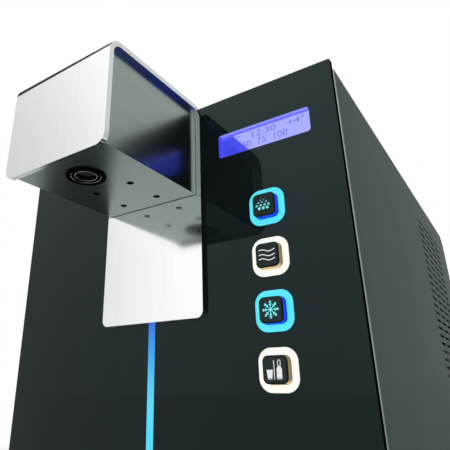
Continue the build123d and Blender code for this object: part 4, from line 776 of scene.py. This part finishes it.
def repeated(name, shape, places, finish, tree, turns=None, sizes=None):
    """The shape at every place as one plain mesh; turns are about y, sizes scale x and z."""
    turns = turns or [0] * len(places)
    sizes = sizes or [1] * len(places)
    points = bpy.data.meshes.new(name + "_points")
    points.from_pydata([tuple(p) for p in places], [], [])
    turn = points.attributes.new("turn", "FLOAT_VECTOR", "POINT")
    turn.data.foreach_set("vector", [v for angle in turns for v in (0.0, angle, 0.0)])
    size = points.attributes.new("size", "FLOAT_VECTOR", "POINT")
    size.data.foreach_set("vector", [v for scale in sizes for v in (scale, 1.0, scale)])
    source = bpy.data.objects.new(name + "_shape", as_mesh(name + "_shape", shape))
    host = bpy.data.objects.new(name + "_host", points)
    for item in (source, host):
        bpy.context.scene.collection.objects.link(item)
    maker = host.modifiers.new("repeat", "NODES")
    maker.node_group = tree
    values = {"Shape": source, "Finish": finish}
    for socket in tree.interface.items_tree:
        if socket.item_type == "SOCKET" and socket.in_out == "INPUT" and socket.name in values:
            maker[socket.identifier] = values[socket.name]
    whole = bpy.context.evaluated_depsgraph_get()
    mesh = bpy.data.meshes.new_from_object(host.evaluated_get(whole), depsgraph=whole)
    mesh.name = name
    host.modifiers.remove(maker)
    bpy.data.objects.remove(host)
    bpy.data.objects.remove(source)
    return mesh


def key_face(number):
    """The middle of a key's front face."""
    low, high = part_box(f"button_cap_{number}")
    return (low.x + high.x) / 2, low.y, (low.z + high.z) / 2


def circle(radius, corners):
    """Evenly spaced points of a circle about the origin."""
    angles = [2 * math.pi * i / corners for i in range(corners)]
    return [(radius * math.cos(angle), radius * math.sin(angle)) for angle in angles]


# ------------------------------------------------------------------ pictograms on the keys
BUBBLE_ROWS = (
    # height over the middle, side places, radius
    (-2.85, (-3.3, -0.1, 3.0), 1.12),
    (-0.45, (-5.2, -2.0, 1.2, 4.2), 0.92),
    (1.75, (-3.8, -0.8, 2.5), 0.72),
    (3.35, (-2.3, 0.7), 0.56),
    (4.95, (-1.3, 2.2), 0.38),
)
BUBBLE_CORNERS = 20
WAVE_HEIGHTS = (3.15, -0.25, -3.25)
WAVE_LENGTH = 12.1
WAVE_RISE = 0.75
WAVE_SWEEP = 2.1 * math.pi
WAVE_START = 0.35
WAVE_STEPS = 28
LINE_WIDTH = 0.62
FLAKE_RADIUS = 6.1
FLAKE_LINE = 0.38
FLAKE_ARMS = 8
FLAKE_BARBS = ((2.7, 1.6), (4.3, 1.5))  # reach along the arm, length
BARB_LEAN = (0.6, 0.72)
TUMBLER = (
    ((-5.7, -0.1), (-1.35, -0.1), (-1.95, -5.1), (-5.0, -5.1)),
    ((-5.1, -5.4), (-1.95, -5.4), (-1.95, -5.8), (-5.1, -5.8)),
)
DIVIDER = ((-0.4, 5.6), (-0.4, -5.9))
BOTTLE = (
    (
        (1.3, -5.0), (1.3, 0.5), (2.0, 1.6), (2.1, 2.3),
        (4.1, 2.3), (4.2, 1.6), (4.9, 0.5), (4.9, -5.0),
    ),
    ((1.3, -5.35), (4.9, -5.35), (4.9, -5.8), (1.3, -5.8)),
)
BOTTLE_NECK = (
    (2.3, 2.5), (2.25, 4.8), (2.65, 5.6), (3.15, 5.8), (3.65, 5.6), (4.05, 4.8), (4.0, 2.5),
)
DIVIDER_WIDTH = 0.5
NECK_WIDTH = 0.45


def bubbles(tree, finish):
    """Rows of bubbles that shrink as they rise."""
    x, y, z = key_face(1)
    places, sizes = [], []
    for height, sides, radius in BUBBLE_ROWS:
        for side in sides:
            places.append((x + side * MM, y, z + height * MM))
            sizes.append(radius)
    disc = raised_outline(circle(MM, BUBBLE_CORNERS), 0.0)
    mesh = repeated("key_bubbles", disc, places, finish, tree, sizes=sizes)
    return keep("key_bubbles", mesh, finish, "button_1")


def waves(tree, finish):
    """Three waves for still water."""
    x, y, z = key_face(2)
    shares = [i / WAVE_STEPS for i in range(WAVE_STEPS + 1)]
    line = [
        (
            (share - 0.5) * WAVE_LENGTH * MM,
            WAVE_RISE * MM * math.sin(WAVE_SWEEP * share + WAVE_START),
        )
        for share in shares
    ]
    wave = raised_outline(ribbon(line, LINE_WIDTH * MM), 0.0)
    places = [(x, y, z + height * MM) for height in WAVE_HEIGHTS]
    mesh = repeated("key_waves", wave, places, finish, tree)
    return keep("key_waves", mesh, finish, "button_2")


def snowflake(tree, finish):
    """A flake of eight barbed arms for chilled water."""
    arm = [((0.0, 0.0), (0.0, FLAKE_RADIUS))]
    for reach, length in FLAKE_BARBS:
        for side in (-1, 1):
            tip = (side * length * BARB_LEAN[0], reach + length * BARB_LEAN[1])
            arm.append(((0.0, reach), tip))
    strokes = []
    for stroke in arm:
        line = [(x * MM, z * MM) for x, z in stroke]
        outline = ribbon(line, FLAKE_LINE * MM)
        strokes.append(as_mesh("stroke", raised_outline(outline, 0.0)))
    places = [key_face(3)] * FLAKE_ARMS
    turns = [2 * math.pi * i / FLAKE_ARMS for i in range(FLAKE_ARMS)]
    mesh = repeated("key_snowflake", merged(strokes), places, finish, tree, turns)
    return keep("key_snowflake", mesh, finish, "button_3")


def glass_and_bottle(finish):
    """A tumbler and a bottle, parted by a thin line."""
    x, y, z = key_face(4)
    lines = (ribbon(DIVIDER, DIVIDER_WIDTH), ribbon(BOTTLE_NECK, NECK_WIDTH))
    parts = [
        as_mesh("part", raised_outline([(x + px * MM, z + pz * MM) for px, pz in outline], y))
        for outline in (*TUMBLER, *BOTTLE, *lines)
    ]
    mesh = as_mesh("key_glass_and_bottle", merged(parts))
    return keep("key_glass_and_bottle", mesh, finish, "button_4")


# ------------------------------------------------------------------ display
def text_mesh(words, height, left, width, y, base):
    """Plain upright characters facing the front, fitted to a row."""
    curve = bpy.data.curves.new("row", "FONT")
    curve.body = words
    curve.size = 1.0
    curve.resolution_u = 3
    writer = bpy.data.objects.new("row", curve)
    bpy.context.scene.collection.objects.link(writer)
    whole = bpy.context.evaluated_depsgraph_get()
    mesh = bpy.data.meshes.new_from_object(writer.evaluated_get(whole), depsgraph=whole)
    bpy.data.objects.remove(writer)
    xs = [v.co.x for v in mesh.vertices]
    ys = [v.co.y for v in mesh.vertices]
    wide = width / (max(xs) - min(xs))
    tall = height / (max(ys) - min(ys))
    for v in mesh.vertices:
        v.co = (left + (v.co.x - min(xs)) * wide, y, base + (v.co.y - min(ys)) * tall)
    return mesh


def display_opening():
    """The lowest and highest corners of the visible display."""
    low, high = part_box("lcd_window")
    middle = (low + high) / 2
    reach = Vector((DISPLAY_OPENING[0] / 2, 0, DISPLAY_OPENING[1] / 2))
    face = Vector((middle.x, low.y, middle.z))
    return face - reach, face + reach


def display_digits(finish):
    """Two rows of plain numbers on the display."""
    low = display_opening()[0]
    y = low.y - PRINT_RAISE
    left = low.x + DIGIT_SIDE_MARGIN
    base = low.z + DIGIT_BOTTOM_MARGIN
    rows = []
    for words, indent, width in (DIGIT_ROW_2, DIGIT_ROW_1):
        rows.append(text_mesh(words, DIGIT_HEIGHT, left + indent, width, y, base))
        base += DIGIT_HEIGHT + DIGIT_LINE_GAP
    mesh = as_mesh("display_digits", merged(rows))
    return keep("display_digits", mesh, finish, "cabinet")


def rounded_outline(low, high, radius, steps=6):
    """A rounded rectangle in x, z."""
    corners = (
        (high.x - radius, high.z - radius, 0),
        (low.x + radius, high.z - radius, 1),
        (low.x + radius, low.z + radius, 2),
        (high.x - radius, low.z + radius, 3),
    )
    points = []
    for cx, cz, quarter in corners:
        for step in range(steps + 1):
            angle = math.pi / 2 * (quarter + step / steps)
            points.append((cx + radius * math.cos(angle), cz + radius * math.sin(angle)))
    return points


def display_surround(finish):
    """The lit wall of the opening in front of the display."""
    low, high = display_opening()
    glass_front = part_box("front_glass")[0].y
    inset = Vector((WALL_LINER, 0, WALL_LINER))
    outer = rounded_outline(low, high, DISPLAY_CORNER)
    inner = rounded_outline(low + inset, high - inset, DISPLAY_CORNER - WALL_LINER)
    shape = bmesh.new()
    rims = ((inner, low.y), (inner, glass_front), (outer, glass_front), (outer, low.y))
    loops = [[shape.verts.new((x, y, z)) for x, z in outline] for outline, y in rims]
    for index in range(len(inner)):
        after = (index + 1) % len(inner)
        for ring in range(4):
            one, two = loops[ring], loops[(ring + 1) % 4]
            shape.faces.new((one[index], one[after], two[after], two[index]))
    bmesh.ops.recalc_face_normals(shape, faces=shape.faces)
    mesh = as_mesh("display_surround", shape)
    return keep("display_surround", mesh, finish, "cabinet")


# ------------------------------------------------------------------ rocker marks
def rocker_mark():
    tones = (0.60, 0.61, 0.60), (0.72, 0.73, 0.72)
    return mottled("rocker_mark", *tones, (0.40, 0.50), 1500, 0.004 * MM)


def rocker_marks(finish):
    """A bar for on and a ring for off, printed on the two slopes of the rocker."""
    low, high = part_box("power_rocker")
    middle = (low + high) / 2
    face = high.y + PRINT_THICKNESS + PRINT_RAISE
    radius, width, corners = ROCKER_RING
    ring = ribbon(circle(radius, corners), width)
    marks = []
    for outline, rise in ((ROCKER_BAR, ROCKER_MARK_RISE), (ring, -ROCKER_MARK_RISE)):
        placed = [(middle.x + px * MM, middle.z + rise + pz * MM) for px, pz in outline]
        marks.append(as_mesh("mark", raised_outline(placed, face)))
    mesh = as_mesh("rocker_marks", merged(marks))
    for corner in mesh.vertices:
        corner.co.y -= abs(corner.co.z - middle.z) * math.tan(ROCKER_SLOPE)
    return keep("rocker_marks", mesh, finish, "rocker")


# ------------------------------------------------------------------ nozzle lips and plugs
def turned(profile, turns, looped):
    """A shape turned round an upright axis from its radius and height points."""
    shape = bmesh.new()
    rings = [
        [shape.verts.new((x, y, height)) for x, y in circle(reach, turns)]
        for reach, height in profile
    ]
    pairs = list(zip(rings, rings[1:]))
    if looped:
        pairs.append((rings[-1], rings[0]))
    else:
        shape.faces.new(rings[0])
        shape.faces.new(list(reversed(rings[-1])))
    for one, two in pairs:
        for turn in range(turns):
            after = (turn + 1) % turns
            shape.faces.new((one[turn], two[turn], two[after], one[after])).smooth = True
    bmesh.ops.recalc_face_normals(shape, faces=shape.faces)
    return shape


def rolled_bead(name, centre, radius, bead_radius, finish):
    """A thin polished bead, bent round into a level ring."""
    profile = [(radius + reach, height) for reach, height in circle(bead_radius, BEAD_SIDES)]
    shape = turned(profile, BEAD_TURNS, True)
    bmesh.ops.translate(shape, verts=shape.verts, vec=centre)
    return keep(name, as_mesh(name, shape), finish, "cabinet")


def nozzle_lips(finish):
    """The rolled lips of the nozzle bore and of the sleeve round it."""
    low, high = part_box("nozzle_diffuser")
    centre = (low + high) / 2
    bore = (high.x - low.x) / 2 + BORE_BEAD
    centre.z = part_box("nozzle_body")[0].z
    rolled_bead("nozzle_lip", centre, bore, BORE_BEAD, finish)
    low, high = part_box("nozzle_sleeve")
    centre.z = low.z
    sleeve = (high.x - low.x) / 2 - 2 * SLEEVE_BEAD
    rolled_bead("sleeve_lip", centre, sleeve, SLEEVE_BEAD, finish)


def spout_plugs(tree, finish):
    """Four shallow domed plugs that close the screw access holes under the spout."""
    profile = [(reach * MM, height * MM) for reach, height in PLUG_PROFILE]
    low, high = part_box("spout_bottom_plate")
    x = (low.x + high.x) / 2
    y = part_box("spout_side_right")[1].y - PLUG_SETBACK
    places = [
        (x + across * PLUG_PITCH[0] / 2, y + along * PLUG_PITCH[1] / 2, low.z)
        for across in (-1, 1)
        for along in (-1, 1)
    ]
    mesh = repeated("spout_plugs", turned(profile, PLUG_TURNS, False), places, finish, tree)
    return keep("spout_plugs", mesh, finish, "cabinet")


# ------------------------------------------------------------------ spout joint
def spout_seal(finish):
    """A thin dark strip of painted shade down both sides of the spout housing and across, at the
    splash plate, where the joint is in shadow.
    """
    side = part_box("spout_side_right")[1]
    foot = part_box("spout_bottom_plate")[0].z
    half = SHADOW_LINE_WIDTH / 2
    corners = (
        # x, z, share of the half-width downwards
        (side.x, side.z, 0), (side.x, foot, -1), (-side.x, foot, -1), (-side.x, side.z, 0),
    )
    shape = bmesh.new()
    rims = []
    for x, z, down in corners:
        across = math.copysign(half, x)
        rims.append([
            shape.verts.new((x + edge * across, y, z + edge * down * half))
            for edge in (-1, 1)
            for y in (side.y - SHADOW_LINE_WIDTH, side.y - SHADOW_LINE_GAP)
        ])
    for one, two in zip(rims, rims[1:]):
        for a, b in ((0, 1), (1, 3), (3, 2), (2, 0)):
            shape.faces.new((one[a], one[b], two[b], two[a]))
    for rim in (rims[0], rims[-1]):
        shape.faces.new((rim[0], rim[1], rim[3], rim[2]))
    bmesh.ops.recalc_face_normals(shape, faces=shape.faces)
    return keep("spout_seal", as_mesh("spout_seal", shape), finish, "cabinet")


# ------------------------------------------------------------------ studio
def studio_floor():
    """A pale floor that keeps the shadow near the object and is white far away."""
    mesh = bpy.data.meshes.new("floor")
    half = FLOOR_SIZE / 2
    corners = [(-half, -half, 0), (half, -half, 0), (half, half, 0), (-half, half, 0)]
    mesh.from_pydata(corners, [], [(0, 1, 2, 3)])
    floor = bpy.data.objects.new("floor", mesh)
    bpy.context.scene.collection.objects.link(floor)
    finish, tree, shader = new_finish("floor", (0.90, 0.90, 0.90), 0.9)
    shader.inputs["Specular IOR Level"].default_value = 0.0
    white = tree.nodes.new("ShaderNodeEmission")
    mix = tree.nodes.new("ShaderNodeMixShader")
    reach = tree.nodes.new("ShaderNodeVectorMath")
    reach.operation = "LENGTH"
    tree.links.new(own_place(tree), reach.inputs[0])
    far = spread(tree, reach.outputs["Value"], 0.0, 1.0, FLOOR_NEAR, FLOOR_FAR)
    tree.links.new(times(tree, far, seen_rays(tree)), mix.inputs["Fac"])
    mirrored = tree.nodes.new("ShaderNodeLightPath").outputs["Is Glossy Ray"]
    level = spread(tree, mirrored, 1.0, FLOOR_MIRRORED, 0.0, 1.0)
    tree.links.new(level, white.inputs["Strength"])
    tree.links.new(shader.outputs["BSDF"], mix.inputs[1])
    tree.links.new(white.outputs["Emission"], mix.inputs[2])
    tree.links.new(mix.outputs["Shader"], tree.nodes["Material Output"].inputs["Surface"])
    mesh.materials.append(finish)


def seen_rays(tree):
    """1 for rays that show the surroundings: straight, in gloss, or through glass."""
    rays = tree.nodes.new("ShaderNodeLightPath")
    seen = combine(tree, rays.outputs["Is Camera Ray"], rays.outputs["Is Glossy Ray"], "MAXIMUM")
    return combine(tree, seen, rays.outputs["Is Transmission Ray"], "MAXIMUM")


def studio_gap(tree, place, direction, inner, outer, low):
    """A softly edged darker part of the studio: 1 away from it, low in its middle."""
    towards = tree.nodes.new("ShaderNodeVectorMath")
    towards.operation = "DOT_PRODUCT"
    towards.inputs[1].default_value = Vector(direction).normalized()
    tree.links.new(place, towards.inputs[0])
    start, end = math.cos(math.radians(outer)), math.cos(math.radians(inner))
    gap = spread(tree, towards.outputs["Value"], 1.0, low, start, end)
    gap.node.interpolation_type = "SMOOTHSTEP"
    return gap


def white_surroundings():
    """White where it is seen, and a plain level where it lights matt surfaces."""
    world = bpy.data.worlds.new("studio")
    world.use_nodes = True
    tree = world.node_tree
    background = tree.nodes["Background"]
    background.inputs["Color"].default_value = (1, 1, 1, 1)
    level = spread(tree, seen_rays(tree), LAMP_LEVEL, 1.0, 0.0, 1.0)
    place = tree.nodes.new("ShaderNodeTexCoord").outputs["Generated"]
    height = tree.nodes.new("ShaderNodeSeparateXYZ")
    tree.links.new(place, height.inputs[0])
    (low, dim), (middle, plain), (high, bright) = STUDIO_LEVELS
    lower = spread(tree, height.outputs["Z"], dim, plain, low, middle)
    upper = spread(tree, height.outputs["Z"], 0.0, bright - plain, middle, high)
    studio = combine(tree, lower, upper)
    for gap in STUDIO_GAPS:
        studio = times(tree, studio, studio_gap(tree, place, *gap))
    mirrored = tree.nodes.new("ShaderNodeLightPath").outputs["Is Glossy Ray"]
    change = times(tree, combine(tree, studio, 1.0, "SUBTRACT"), mirrored)
    tree.links.new(combine(tree, level, change), background.inputs["Strength"])
    bpy.context.scene.world = world


LAMPS = (
    # name, place, width, watts
    ("lamp_front_left", (-1.3, -1.9, 1.9), 2.2, 34.0),
    ("lamp_front_right", (1.9, -1.3, 1.3), 1.8, 16.0),
    ("lamp_rear", (0.6, 2.2, 1.8), 2.0, 18.0),
)


def soft_lamps():
    """Large soft lamps aimed at the middle of the object."""
    middle = (cad_box[0] + cad_box[1]) / 2
    for name, place, width, watts in LAMPS:
        light = bpy.data.lights.new(name, "AREA")
        light.shape = "DISK"
        light.size = width
        light.energy = watts
        lamp = bpy.data.objects.new(name, light)
        lamp.location = place
        lamp.rotation_euler = (middle - Vector(place)).to_track_quat("-Z", "Y").to_euler()
        lamp.visible_glossy = False
        bpy.context.scene.collection.objects.link(lamp)


def main_camera():
    view = bpy.data.cameras.new("camera")
    view.sensor_width = 36.0
    view.lens = CAMERA_LENS
    view.shift_x, view.shift_y = CAMERA_SHIFT
    view.clip_start = 0.01
    view.clip_end = 100.0
    camera = bpy.data.objects.new("camera", view)
    camera.location = CAMERA_PLACE
    camera.rotation_euler = [math.radians(angle) for angle in CAMERA_TURN]
    bpy.context.scene.collection.objects.link(camera)
    bpy.context.scene.camera = camera


main_camera()
white_surroundings()
soft_lamps()
studio_floor()
finishes = finish_cad_nodes()
repeat = repeat_tree()
white_print = print_white()
bubbles(repeat, bubble_print())
waves(repeat, white_print)
snowflake(repeat, print_cyan())
glass_and_bottle(white_print)
display_digits(display_digit())
display_surround(display_wall())
spout_seal(finishes["nozzle_bezel"])
nozzle_lips(finishes["nozzle_sleeve"])
spout_plugs(repeat, finishes["nozzle_bezel"])
rocker_marks(rocker_mark())
bpy.context.scene.view_settings.view_transform = "Standard"
